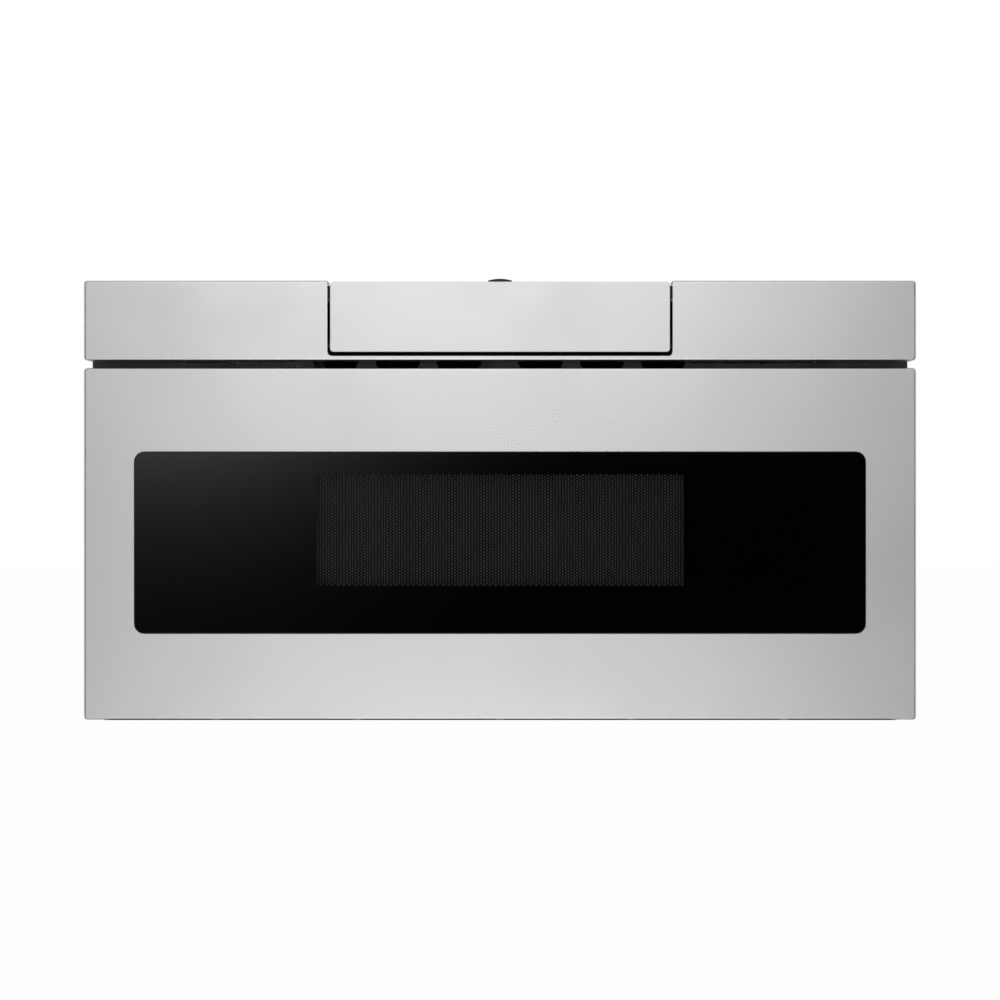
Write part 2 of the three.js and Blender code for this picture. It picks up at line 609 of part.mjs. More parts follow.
const PITCH_RADIUS = GEAR_MODULE * PINION_TEETH / 2;
const PITCH = Math.PI * GEAR_MODULE;
const BACKLASH = 0.3;
const TOOTH = PITCH / 2 - BACKLASH / 2; // thickness of a tooth on the pitch line
const ADDENDUM = GEAR_MODULE * 0.95;
const DEDENDUM = GEAR_MODULE * 1.25;
const PITCH_LINE = PINION_Z + PITCH_RADIUS;
const RACK_X = BRACKET_FACE - PLATE - SEAT;
const PINION_X = RACK_X - (RACK_WIDTH + PINION_WIDTH) / 2;

function involute(angle) {
  return Math.tan(angle) - angle;
}

function drivePinion() {
  const base = PITCH_RADIUS * Math.cos(PRESSURE_ANGLE);
  const tip = PITCH_RADIUS + ADDENDUM;
  const root = PITCH_RADIUS - DEDENDUM;
  const halfTooth = (radius) => {
    const angle = Math.acos(Math.min(1, base / radius));
    return TOOTH / (2 * PITCH_RADIUS) + involute(PRESSURE_ANGLE) - involute(angle);
  };
  const flank = [root, base, PITCH_RADIUS, tip];
  const points = [];
  for (let i = 0; i < PINION_TEETH; i += 1) {
    const centre = Math.PI / 2 + (i / PINION_TEETH) * Math.PI * 2;
    const rising = flank.map((r) => [r, centre - halfTooth(Math.max(r, base))]);
    const falling = flank.slice().reverse().map((r) => [r, centre + halfTooth(Math.max(r, base))]);
    for (const [r, a] of [...rising, ...falling]) {
      points.push([PINION_Y + r * Math.cos(a), PINION_Z + r * Math.sin(a)]);
    }
  }
  const wheel = prism('x', outline(points), PINION_X, PINION_X + PINION_WIDTH);
  const shaft = rod('x', PINION_Y, PINION_Z, SHAFT_RADIUS, PINION_X - 18, PINION_X + PINION_WIDTH + 0.5, 16);
  return join(wheel, shaft);
}
piece('drive_pinion', drivePinion(), acetal);

const RACK_FRONT = PINION_Y - 3.5 * PITCH;
const RACK_TEETH = Math.ceil(TRAVEL / PITCH) + 7;

// The rack hangs on the right bracket with its teeth down on the pinion.
function drawerRack() {
  const slope = Math.tan(PRESSURE_ANGLE);
  const top = PITCH_LINE + DEDENDUM + RACK_HEIGHT - GEAR_MODULE * 2;
  const points = [[RACK_FRONT, top], [RACK_FRONT, PITCH_LINE + DEDENDUM]];
  for (let i = 0; i < RACK_TEETH; i += 1) {
    const y = RACK_FRONT + (i + 1) * PITCH;
    const atTip = TOOTH / 2 - ADDENDUM * slope;
    const atRoot = TOOTH / 2 + DEDENDUM * slope;
    points.push([y - atRoot, PITCH_LINE + DEDENDUM], [y - atTip, PITCH_LINE - ADDENDUM],
      [y + atTip, PITCH_LINE - ADDENDUM], [y + atRoot, PITCH_LINE + DEDENDUM]);
  }
  const end = RACK_FRONT + (RACK_TEETH + 1) * PITCH;
  points.push([end, PITCH_LINE + DEDENDUM], [end, top]);
  return prism('x', outline(points), RACK_X - RACK_WIDTH, RACK_X);
}
piece('drawer_rack', drawerRack(), acetal);

const MOTOR_RADIUS = 17;
const MOTOR_LENGTH = 52;
const GEARBOX_THICK = 34;
function gearMotor() {
  const face = PINION_X - 2.5;
  const foot = PAN_TOP + SEAT;
  const back = face - GEARBOX_THICK;
  const [y, z] = [PINION_Y + 20, PINION_Z + 4]; // axis of the motor
  const gearbox = prism('x', roundRect(PINION_Y - 20, PINION_Y + 38, foot + 2, PINION_Z + 28, 6, 2),
    back, face);
  const rib = prism('x', roundRect(PINION_Y - 22, PINION_Y + 40, foot + 2, PINION_Z + 29, 7, 2),
    back + GEARBOX_THICK / 2 - 1.5, back + GEARBOX_THICK / 2 + 1.5);
  const feet = box(back - 8, face - 1, PINION_Y - 30, PINION_Y + 48, foot, foot + 2.5);
  const motor = rod('x', y, z, MOTOR_RADIUS, back - MOTOR_LENGTH, back + 1, 24);
  const belt = rod('x', y, z, MOTOR_RADIUS + 1.2, back - 34, back - 14, 24);
  const tail = rod('x', y, z, 6, back - MOTOR_LENGTH - 5, back - MOTOR_LENGTH + 1, 16);
  const bore = rod('x', PINION_Y, PINION_Z, SHAFT_RADIUS + SEAT + 0.1, face - 17, face + 1, 20);
  return cut(join(gearbox, rib, feet, motor, belt, tail), bore);
}
piece('drawer_gearmotor', gearMotor(), darkFrame);

// ---------------------------------------------------------------- cabinet sheet metal

const SLIDE_SLOT_IN = BRACKET_FACE - PLATE - RACK_WIDTH - 5;
const HOOK_X = 300;
const HOOK_Z = 200;
const SHEET_BACK = BODY_BACK - SHEET - SEAT;

// A long slot with round ends, in the plane of a sheet.
function slotShape(a0, a1, b0, b1) {
  return roundRect(a0, a1, b0, b1, Math.min(a1 - a0, b1 - b0) / 2 - 0.1, 2);
}

// Section of a bead pressed up from a sheet whose outer face is at height face.
function beadShape(middle, face, rise = BEAD_RISE) {
  const root = face - Math.sign(rise) * SHEET * 0.5;
  return outline([
    [middle - BEAD_HALF, root], [middle + BEAD_HALF, root],
    [middle + BEAD_HALF - BEAD_SLOPE, face + rise], [middle - BEAD_HALF + BEAD_SLOPE, face + rise],
  ]);
}

// Sheet with its two long edges turned up by a positive lip, or down by a negative one.
function channelSheet(face, lip) {
  const inner = INNER_BODY - SHEET;
  const level = face + Math.sign(lip) * SHEET;
  return prism('y', outline([
    [-INNER_BODY, face], [INNER_BODY, face], [INNER_BODY, face + lip], [inner, face + lip],
    [inner, level], [-inner, level], [-inner, face + lip], [-INNER_BODY, face + lip],
  ]), CAVITY_FRONT, SHEET_BACK);
}

const PAN_LIP = 20;
const PAN_BEADS = [160, 300, 440];
const PAN_BEAD_RISE = 5;
const GRILLE_X = -330;
const GRILLE_Y = 470;
const GRILLE_SLOT = [5, 30];
const GRILLE_PITCH = [12, 40];

function basePan() {
  const beads = PAN_BEADS.map((y) => prism('x', beadShape(y, PAN_TOP, PAN_BEAD_RISE), -220, 180));
  const slots = [];
  for (let i = 0; i < 6; i += 1) {
    for (let j = 0; j < 3; j += 1) {
      const [x, y] = [GRILLE_X + i * GRILLE_PITCH[0], GRILLE_Y + j * GRILLE_PITCH[1]];
      slots.push(box(x, x + GRILLE_SLOT[0], y, y + GRILLE_SLOT[1], BODY_BOTTOM - 1, PAN_TOP + 1));
    }
  }
  return cut(join(channelSheet(BODY_BOTTOM, PAN_LIP), ...beads), ...slots);
}
piece('base_pan', basePan(), galvanised);

// Side panels: flat sheets with pressed beads, and louvres beside the fan.
const SIDE_BEADS = [120, 215, 310];
const LOUVRE_FRONT = 480;
const LOUVRE_PITCH = 16;
const LOUVRE_WIDTH = 7;
for (const [label, side] of SIDES) {
  const x = HALF_BODY - SHEET;
  const sheet = box(side * x, side * HALF_BODY, CAVITY_FRONT, BODY_BACK, BODY_BOTTOM, BODY_TOP);
  const beads = SIDE_BEADS.map((z) => {
    const [near, far] = [side * (HALF_BODY - SHEET / 2), side * (HALF_BODY + BEAD_RISE)];
    return prism('y', outline([
      [near, z - BEAD_HALF], [near, z + BEAD_HALF],
      [far, z + BEAD_HALF - BEAD_SLOPE], [far, z - BEAD_HALF + BEAD_SLOPE],
    ]), 80, LOUVRE_FRONT - 30);
  });
  const louvres = [];
  for (let i = 0; i < 7; i += 1) {
    const y = LOUVRE_FRONT + i * LOUVRE_PITCH;
    louvres.push(prism('x', slotShape(y, y + LOUVRE_WIDTH, 90, 150), side * x - 4, side * x + 4));
  }
  piece(`side_panel_${label}`, cut(join(sheet, ...beads), ...louvres), galvanised);
}

const COVER_BEADS = [150, 270, 390];
function topCover() {
  const beads = COVER_BEADS.map((y) => prism('x', beadShape(y, BODY_TOP), -INNER_BODY + 50, INNER_BODY - 50));
  const slots = [];
  for (let i = 0; i < 6; i += 1) {
    const x = GRILLE_X + 20 + i * LOUVRE_PITCH;
    slots.push(prism('z', slotShape(x, x + LOUVRE_WIDTH, 500, 570), BODY_TOP - SHEET - 1, BODY_TOP + 1));
  }
  return cut(join(channelSheet(BODY_TOP, -16), ...beads), ...slots);
}
piece('top_cover', topCover(), galvanised);

const GLAND_X = -300;
const GLAND_Z = 60;
const GLAND_RADIUS = 11;
function rearPanel() {
  const [front, behind] = [BODY_BACK - SHEET - 1, BODY_BACK + 1];
  const grille = [];
  for (let i = 0; i < 10; i += 1) {
    const x = FAN_X - 90 + i * LOUVRE_PITCH;
    grille.push(prism('y', slotShape(x, x + LOUVRE_WIDTH, FAN_Z - 40, FAN_Z + 40), front, behind));
  }
  return cut(
    box(-INNER_BODY, INNER_BODY, BODY_BACK - SHEET, BODY_BACK, BODY_BOTTOM, BODY_TOP), ...grille,
    rod('y', GLAND_X, GLAND_Z, GLAND_RADIUS + SEAT, front, behind, 20));
}
piece('rear_panel', rearPanel(), galvanised);

// Rubber-lipped gland that the supply cord leaves through.
function cordGland() {
  const brimBack = SHEET_BACK;
  const spool = join(
    rod('y', GLAND_X, GLAND_Z, GLAND_RADIUS, BODY_BACK - 12, BODY_BACK, 16),
    rod('y', GLAND_X, GLAND_Z, GLAND_RADIUS + 4, brimBack - 3, brimBack, 16));
  return cut(spool, rod('y', GLAND_X, GLAND_Z, 5, BODY_BACK - 20, BODY_BACK + 20, 12));
}
piece('cord_gland', cordGland(), blackPlastic);

// Openings of the front plate that show in the gap between the door and the strip
const VENT_FLOOR = DOOR_TOP + 0.6;
const VENT_ROOF = TRIM_BOTTOM + 8;
const VENT_BAND_TOP = TRIM_BOTTOM + 1.2;
const VENT_WIDTH = 41.6;
const VENT_CENTRES = [-151.9, -94.4, -37.9, 37.4, 94.2, 150.5];
const VENT_SLOPE = 3; // run of the slanted lower corners
const SLIT_INNER = 174; // the long slit at each side of the vents
const SLIT_OUTER = 300;
const SLIT_FLOOR = TRIM_BOTTOM - 0.6;
const SCREW_NOTCH_X = 242;
const SEAM_X = 272;
const PLUG_WINDOW = [-208, -187];
const PLUG_HOLES = [-215.6, -177];
const HOLD_HALF = 170;
const SCREW_HOLES_Z = [60, 200, 340];

// Plate behind the front: it carries the cavity, closes on the cabinet's face and lets the air out.
function frontFrame() {
  let plate = prism('y', roundRect(-FLANGE_HALF, FLANGE_HALF, FLANGE_BOTTOM, FLANGE_TOP, 3),
    FRONT_DEPTH, FLANGE_BACK);
  const through = (shape) => {
    plate = cut(plate, prism('y', shape, FRONT_DEPTH - 1, FLANGE_BACK + 1));
  };
  through(rect(-HALF_CAVITY, HALF_CAVITY, CAVITY_FLOOR, CAVITY_TOP));
  through(rect(-HOLD_HALF, HOLD_HALF, VENT_BAND_TOP, SWING_TOP + SWING_CLEAR + SHEET));
  for (const x of VENT_CENTRES) {
    const half = VENT_WIDTH / 2;
    through(outline([
      [x - half, VENT_ROOF], [x - half, VENT_FLOOR + 2 * VENT_SLOPE], [x - half + VENT_SLOPE, VENT_FLOOR],
      [x + half - VENT_SLOPE, VENT_FLOOR], [x + half, VENT_FLOOR + 2 * VENT_SLOPE], [x + half, VENT_ROOF],
    ].reverse()));
  }
  through(rect(...PLUG_WINDOW, VENT_FLOOR, VENT_ROOF));
  for (const x of PLUG_HOLES) through(disc(x, VENT_FLOOR + 3, 1.6, 8));
  for (const [, side] of SIDES) {
    const span = (a, b) => [side * a, side * b].sort((first, second) => first - second);
    through(rect(...span(SLIT_INNER, SLIT_OUTER), SLIT_FLOOR, VENT_ROOF));
    through(disc(side * SCREW_NOTCH_X, SLIT_FLOOR, 1.8, 8));
    through(rect(...span(SEAM_X - 0.4, SEAM_X + 0.4), DOOR_TOP - 3, SLIT_FLOOR + 1));
    through(rect(...span(SLIDE_SLOT_IN, SLIDE_FACE + 2), SLIDE_CENTRE - 25, BRACKET_TOP + 4));
    through(roundRect(side * HOOK_X - 8, side * HOOK_X + 8, HOOK_Z - 20, HOOK_Z + 20, 3));
    for (const z of SCREW_HOLES_Z) through(disc(side * (FLANGE_HALF - 9.5), z, 2.5, 10));
  }
  return plate;
}
piece('front_frame', frontFrame(), darkFrame);

// ---------------------------------------------------------------- cavity

const AIR_HOLE = 7;
const AIR_PITCH = 15;
const AIR_IN_Y = 330; // first hole of the inlet, behind the duct, and of the outlet
const AIR_OUT_Y = 230;
const AIR_Z = 200;
const FLANGE_DROP = 7;
const FLANGE_RISE = 20;
const FEED_HALF = 60; // half the width of the opening under the stirrer

function ovenCavity() {
  const shell = cut(
    box(-HALF_CAVITY - SHEET, HALF_CAVITY + SHEET, CAVITY_FRONT, CAVITY_BACK + SHEET,
      CAVITY_FLOOR - SHEET, ROOF),
    box(-HALF_CAVITY, HALF_CAVITY, 0, CAVITY_BACK, CAVITY_FLOOR, CAVITY_TOP));
  const flange = cut(
    box(-CHOKE_HALF, CHOKE_HALF, CAVITY_FRONT, CAVITY_FRONT + SHEET,
      CAVITY_FLOOR - FLANGE_DROP, CAVITY_TOP + FLANGE_RISE),
    box(-HALF_CAVITY - 0.5, HALF_CAVITY + 0.5, 0, CAVITY_BACK, CAVITY_FLOOR - 0.5, CAVITY_TOP + 0.5));
  const holes = [box(-FEED_HALF, FEED_HALF, STIRRER_Y - FEED_HALF, STIRRER_Y + FEED_HALF,
    CAVITY_TOP - 1, ROOF + 1)];
  const hole = (side, y, z) => box(side * (HALF_CAVITY - 1), side * (HALF_CAVITY + SHEET + 1),
    y, y + AIR_HOLE, z, z + AIR_HOLE);
  for (let j = 0; j < 3; j += 1) {
    const z = AIR_Z + j * AIR_PITCH;
    for (let i = 0; i < 5; i += 1) holes.push(hole(1, AIR_IN_Y + i * AIR_PITCH, z));
    for (let i = 0; i < 3; i += 1) holes.push(hole(-1, AIR_OUT_Y + i * AIR_PITCH, z));
  }
  return cut(join(shell, flange), ...holes);
}
piece('oven_cavity', ovenCavity(), greyEnamel);

piece('waveguide_cover', prism('z', roundRect(-78, 78, STIRRER_Y - 78, STIRRER_Y + 78, 8),
  CAVITY_TOP - SEAT - 0.8, CAVITY_TOP - SEAT), mica);

// ---------------------------------------------------------------- microwave feed

const DOME_BASE = ROOF + SEAT;
const DOME_TOP = DOME_BASE + DOME_HEIGHT;
const GUIDE_BASE = DOME_TOP + SEAT;
const GUIDE_TOP = GUIDE_BASE + GUIDE_HEIGHT;
const GUIDE_FRONT = STIRRER_Y - 60;

function stirrerDome() {
  const x = DOME_WIDTH / 2;
  const y0 = STIRRER_Y - DOME_DEPTH / 2;
  const y1 = STIRRER_Y + DOME_DEPTH / 2;
  const shell = cut(
    box(-x, x, y0, y1, DOME_BASE, DOME_TOP),
    box(-x + SHEET, x - SHEET, y0 + SHEET, y1 - SHEET, 0, DOME_TOP - SHEET));
  const brim = cut(
    box(-x - 10, x + 10, y0 - 10, y1 + 10, DOME_BASE, DOME_BASE + SHEET),
    box(-x + SHEET, x - SHEET, y0 + SHEET, y1 - SHEET, 0, DOME_TOP));
  const iris = box(-38, 38, STIRRER_Y - 38, STIRRER_Y + 38, DOME_TOP - 3, DOME_TOP + 1);
  return cut(join(shell, brim), iris);
}
piece('stirrer_dome', stirrerDome(), galvanised);

function waveGuide() {
  const x = GUIDE_WIDTH / 2;
  const tube = cut(
    box(-x, x, GUIDE_FRONT, GUIDE_BACK, GUIDE_BASE, GUIDE_TOP),
    box(-x + SHEET, x - SHEET, GUIDE_FRONT + SHEET, GUIDE_BACK - SHEET,
      GUIDE_BASE + SHEET, GUIDE_TOP - SHEET));
  return cut(tube,
    box(-38, 38, STIRRER_Y - 38, STIRRER_Y + 38, GUIDE_BASE - 1, GUIDE_BASE + 3),
    rod('z', 0, STIRRER_Y, SHAFT_RADIUS + 1, GUIDE_TOP - 3, GUIDE_TOP + 1, 12),
    rod('z', 0, MAGNETRON_Y, 16, GUIDE_BASE - 1, GUIDE_BASE + 3, 20));
}
piece('waveguide', waveGuide(), galvanised);

const BLADE_Z = DOME_BASE + 9;
function stirrerBlade() {
  const hub = rod('z', 0, STIRRER_Y, 8, BLADE_Z - 3, BLADE_Z + 4, 16);
  const shaft = rod('z', 0, STIRRER_Y, 3, BLADE_Z, GUIDE_TOP + 12, 10);
  const vanes = [];
  for (let i = 0; i < 4; i += 1) {
    const angle = (i / 4) * Math.PI * 2 + Math.PI / 4;
    const vane = new THREE.ExtrudeGeometry(outline([
      [5, -8], [STIRRER_RADIUS - 14, -20], [STIRRER_RADIUS - 4, 0], [STIRRER_RADIUS - 14, 20], [5, 8],
    ]), { depth: 1.2, bevelEnabled: false });
    vane.rotateX(THREE.MathUtils.degToRad(14)).rotateZ(angle).translate(0, STIRRER_Y, BLADE_Z);
    vanes.push(toSolid(vane));
  }
  return join(hub, shaft, ...vanes);
}
piece('stirrer_blade', stirrerBlade(), zincPlate);

function stirrerMotor() {
  const z = GUIDE_TOP + SEAT;
  const can = rod('z', 0, STIRRER_Y, 24, z, z + 15, 28);
  const ears = prism('z', roundRect(-34, 34, STIRRER_Y - 7, STIRRER_Y + 7, 6), z, z + 1.5);
  return cut(join(can, ears), rod('z', 0, STIRRER_Y, 3 + 0.5, z - 1, z + 13, 12));
}
piece('stirrer_motor', stirrerMotor(), zincPlate);

// The magnetron hangs under the back end of the waveguide with its antenna up in it.
function magnetron() {
  const top = GUIDE_BASE - SEAT;
  const plate = prism('z', roundRect(-44, 44, MAGNETRON_Y - 44, MAGNETRON_Y + 44, 5), top - 3, top);
  const antenna = rod('z', 0, MAGNETRON_Y, 9, top - 4, top + 26, 16);
  const collar = rod('z', 0, MAGNETRON_Y, 15, top - 4, top + 1.5, 20);
  const core = rod('z', 0, MAGNETRON_Y, 21, top - 66, top - 2, 14);
  const fins = [];
  for (let i = 0; i < 5; i += 1) {
    const z = top - 14 - i * 10;
    fins.push(box(-38, 38, MAGNETRON_Y - 34, MAGNETRON_Y + 34, z, z + 1.2));
  }
  const yoke = SIDES.map(([, side]) => box(side * 42, side * 38.5 - side, MAGNETRON_Y - 34, MAGNETRON_Y + 34,
    top - 66, top - 2));
  const foot = box(-42, 42, MAGNETRON_Y - 34, MAGNETRON_Y + 34, top - 68, top - 64);
  const filter = box(-30, 30, MAGNETRON_Y - 30, MAGNETRON_Y + 30, top - 92, top - 67);
  return join(plate, antenna, collar, core, foot, filter, ...fins, ...yoke);
}
piece('magnetron', magnetron(), zincPlate);

// ---------------------------------------------------------------- cooling

const SHROUD_FRONT_X = FAN_X + 14;
const SHROUD_BACK_X = FAN_X - 14;
const MOTOR_FRONT_X = SHROUD_BACK_X - 8;

function fanShroud() {
  const bottom = PAN_TOP + SEAT;
  const half = FAN_RADIUS + 12;
  const wall = prism('x', roundRect(FAN_Y - half, FAN_Y + half, FAN_Z - half, FAN_Z + half, 10),
    SHROUD_BACK_X, SHROUD_FRONT_X);
  const legHalf = half - 8;
  const leg = box(SHROUD_BACK_X, SHROUD_BACK_X + 3, FAN_Y - legHalf, FAN_Y + legHalf, bottom, FAN_Z - legHalf);
  const foot = box(SHROUD_BACK_X, SHROUD_BACK_X + 24, FAN_Y - legHalf, FAN_Y + legHalf, bottom, bottom + 3);
  const tunnel = rod('x', FAN_Y, FAN_Z, FAN_RADIUS + 3, SHROUD_BACK_X - 1, SHROUD_FRONT_X + 1, 28);
  const relief = box(SHROUD_BACK_X + 4, SHROUD_FRONT_X + 1, FAN_Y - half + 4, FAN_Y + half - 4,
    FAN_Z - half + 4, FAN_Z + half - 4);
  const ring = cut(
    rod('x', FAN_Y, FAN_Z, FAN_RADIUS + 5, SHROUD_BACK_X, SHROUD_FRONT_X, 28), tunnel);
  let shroud = join(cut(join(wall, leg, foot), tunnel, relief), ring);
  const arms = [Math.PI / 4, -Math.PI / 4].map((angle) => {
    const arm = new THREE.BoxGeometry(4, 2 * (FAN_RADIUS + 8), 10);
    arm.rotateX(angle).translate(SHROUD_BACK_X - 2, FAN_Y, FAN_Z);
    return toSolid(arm);
  });
  shroud = join(shroud, ...arms);
  return cut(shroud, rod('x', FAN_Y, FAN_Z, 7, SHROUD_BACK_X - 9, SHROUD_BACK_X + 3, 16));
}
piece('fan_shroud', fanShroud(), blackPlastic);

function fanBlade() {
  const hub = rod('x', FAN_Y, FAN_Z, 15, FAN_X - 8, FAN_X + 9, 20);
  const shaft = rod('x', FAN_Y, FAN_Z, 3, MOTOR_FRONT_X - 10, FAN_X, 10);
  const blades = [];
  for (let i = 0; i < 5; i += 1) {
    const start = (i / 5) * Math.PI * 2;
    const petal = outline([
      ...arcPoints(0, 0, FAN_RADIUS, -0.42, 0.42, 6), ...arcPoints(0, 0, 12, 0.6, -0.6, 3),
    ]);
    const blade = new THREE.ExtrudeGeometry(petal, { depth: 1.6, bevelEnabled: false });
    blade.translate(0, 0, -0.8).rotateX(THREE.MathUtils.degToRad(20)).rotateZ(start);
    blade.applyMatrix4(toX).translate(FAN_X, FAN_Y, FAN_Z);
    blades.push(toSolid(blade));
  }
  return join(hub, shaft, ...blades);
}
piece('fan_blade', fanBlade(), acetal);

function fanMotor() {
  const front = MOTOR_FRONT_X;
  const stack = box(front - 22, front - 4, FAN_Y - 30, FAN_Y + 30, FAN_Z - 32, FAN_Z + 34);
  const bell = rod('x', FAN_Y, FAN_Z, 18, front - 34, front, 20);
  const posts = [[-24, -26], [24, -26], [-24, 28], [24, 28]].map(([y, z]) => rod('x', FAN_Y + y, FAN_Z + z, 3,
    front - 6, SHROUD_BACK_X - 4 - SEAT, 8));
  return cut(join(stack, bell, ...posts), rod('x', FAN_Y, FAN_Z, 3.5, front - 14, front + 1, 12));
}
piece('fan_motor', fanMotor(), coreSteel);

// Duct that leads the warmed air from the magnetron to the holes in the cavity's right wall.
const DUCT_HEIGHT = 64;
const DUCT_WALL = 2;
const DUCT_DEPTH = 50; // at its end along the cavity's wall
const DUCT_FRONT = 320;

function airDuct() {
  const top = GUIDE_BASE - 12;
  const wallX = HALF_CAVITY + SHEET + SEAT;
  const y0 = CAVITY_BACK + SHEET + SEAT + 12;
  const back = MAGNETRON_Y + 34;
  const mouth = 46;
  const section = (inset) => outline([
    [mouth - inset, y0 + inset], [wallX + inset, y0 + inset], [wallX + inset, DUCT_FRONT + inset],
    [wallX + DUCT_DEPTH - inset, DUCT_FRONT + inset], [wallX + DUCT_DEPTH - inset, y0 + 24],
    [wallX - 20, back - inset], [mouth - inset, back - inset],
  ]);
  return cut(
    prism('z', section(0), top - DUCT_HEIGHT, top),
    prism('z', section(DUCT_WALL), top - DUCT_HEIGHT + DUCT_WALL, top - DUCT_WALL),
    box(wallX - 1, wallX + DUCT_WALL + 1, DUCT_FRONT + 6, DUCT_FRONT + 82, top - DUCT_HEIGHT + 6, top - 6));
}
piece('air_duct', airDuct(), blackPlastic);

// ---------------------------------------------------------------- electrical parts

const BAY_FLOOR = PAN_TOP + SEAT;

function transformer() {
  const x = 190;
  const y = 550;
  const core = box(x - 48, x + 48, y - 30, y + 30, BAY_FLOOR + 2, BAY_FLOOR + 82);
  const windows = SIDES.map(([, side]) => box(x + side * 16, x + side * 32, y - 40, y + 40,
    BAY_FLOOR + 18, BAY_FLOOR + 66));
  const foot = box(x - 60, x + 60, y - 34, y + 34, BAY_FLOOR, BAY_FLOOR + 3);
  const coil = prism('z', roundRect(x - 31, x + 31, y - 48, y + 48, 12), BAY_FLOOR + 20, BAY_FLOOR + 64);
  return join(cut(join(core, foot), ...windows), coil);
}
piece('hv_transformer', transformer(), copper);

function capacitor() {
  const x = 60;
  const y = 585;
  const can = prism('z', roundRect(x - 26, x + 26, y - 17, y + 17, 16.5), BAY_FLOOR, BAY_FLOOR + 84);
  const tags = [-10, 10].map((dx) => box(x + dx - 3, x + dx + 3, y - 0.5, y + 0.5,
    BAY_FLOOR + 83, BAY_FLOOR + 95));
  const strap = prism('z', roundRect(x - 28, x + 28, y - 19, y + 19, 18), BAY_FLOOR + 40, BAY_FLOOR + 52);
  return join(can, strap, ...tags);
}
piece('hv_capacitor', capacitor(), zincPlate);

function ovenLamp() {
  const x = -HALF_CAVITY - SHEET - SEAT;
  const y = 251;
  const z = 221;
  const plate = prism('x', roundRect(y - 30, y + 30, z - 28, z + 28, 4), x - 2, x);
  const window = prism('x', roundRect(y - 18, y + 18, z - 16, z + 16, 3), x - 3, x + 1);
  const hood = cut(
    prism('x', roundRect(y - 20, y + 20, z - 18, z + 18, 3), x - 40, x - 1),
    prism('x', roundRect(y - 18, y + 18, z - 16, z + 16, 3), x - 38, x + 1));
  const socket = rod('x', y, z, 9, x - 46, x - 26, 14);
  const bulb = rod('x', y, z, 7, x - 30, x - 10, 14);
  return join(cut(plate, window), hood, socket, bulb);
}
piece('oven_lamp', ovenLamp(), zincPlate);

function powerBoard() {
  const x = -INNER_BODY;
  const y = 200;
  const z = 120;
  const board = box(x + 6, x + 7.6, y, y + 190, z, z + 130);
  const posts = [[10, 10], [180, 10], [10, 120], [180, 120]].map(([dy, dz]) => rod('x', y + dy, z + dz, 3,
    x, x + 7, 8));
  const relay = box(x + 7, x + 26, y + 20, y + 50, z + 20, z + 40);
  const filter = box(x + 7, x + 32, y + 70, y + 105, z + 22, z + 50);
  const pots = [130, 150, 170].map((dy) => rod('x', y + dy, z + 30, 7, x + 7, x + 30, 12));
  const sockets = [30, 70, 110, 150].map((dy) => box(x + 7, x + 17, y + dy, y + dy + 22, z + 100, z + 112));
  return join(board, relay, filter, ...posts, ...pots, ...sockets);
}
piece('power_board', powerBoard(), boardGreen);

// ---------------------------------------------------------------- door latches and switches

const HOOK_THICK = 3;
const SWITCH_Y = 60;
const SWITCH_WIDTH = 6.5;
const LATCH_X = HOOK_X + HOOK_THICK / 2 + RUN;

function latchHook(side) {
  const x0 = side * (HOOK_X - HOOK_THICK / 2);
  const x1 = side * (HOOK_X + HOOK_THICK / 2);
  const [low, high] = [Math.min(x0, x1), Math.max(x0, x1)];
  const hook = prism('x', outline([
    [DOOR_BACK, HOOK_Z - 14], [56, HOOK_Z - 14], [86, HOOK_Z - 6], [86, HOOK_Z + 4], [76, HOOK_Z + 14],
    [70, HOOK_Z + 14], [70, HOOK_Z + 6], [58, HOOK_Z + 6], [50, HOOK_Z + 14], [DOOR_BACK, HOOK_Z + 14],
  ]), low, high);
  const foot = box(side * (HOOK_X - 14), side * HOOK_X, DOOR_BACK, DOOR_BACK + 1.6, HOOK_Z - 14, HOOK_Z + 14);
  return join(hook, foot);
}

function latchBracket(side) {
  const x = LATCH_X + SWITCH_WIDTH + SEAT;
  const plate = box(side * x, side * (x + 2.5), CAVITY_FRONT, 110, HOOK_Z - 34, HOOK_Z + 34);
  const flange = box(side * x, side * (x + 18), CAVITY_FRONT, CAVITY_FRONT + 2.5, HOOK_Z - 34, HOOK_Z + 34);
  const root = CAVITY_FRONT + 2;
  const gusset = prism('z', outline([
    [side * (x + 2), root], [side * (x + 16), root], [side * (x + 2), root + 28],
  ]), HOOK_Z - 2, HOOK_Z + 2);
  return join(plate, flange, gusset);
}

function interlockSwitch(side, z) {
  const body = box(side * LATCH_X, side * (LATCH_X + SWITCH_WIDTH), SWITCH_Y, SWITCH_Y + 28, z - 6, z + 6);
  const tags = [4, 14, 24].map((dy) => box(side * (LATCH_X + 2), side * (LATCH_X + 3), SWITCH_Y + dy - 1.5,
    SWITCH_Y + dy + 1.5, z - 11, z - 5));
  return join(body, ...tags);
}

for (const [label, side] of SIDES) {
  piece(`latch_hook_${label}`, latchHook(side), acetal);
  piece(`latch_bracket_${label}`, latchBracket(side), blackPlastic);
}
piece('interlock_switch_upper', interlockSwitch(1, HOOK_Z + 14), blackPlastic);
piece('interlock_switch_lower', interlockSwitch(1, HOOK_Z - 8), blackPlastic);
piece('monitor_switch', interlockSwitch(-1, HOOK_Z), blackPlastic);

// ---------------------------------------------------------------- strip above the door

const HALF_CONTROL = CONTROL_WIDTH / 2;
const NOTCH_HALF = HALF_CONTROL + CONTROL_SIDE_GAP;
const NOTCH_BOTTOM = CONTROL_BOTTOM - CONTROL_FLOOR_GAP;

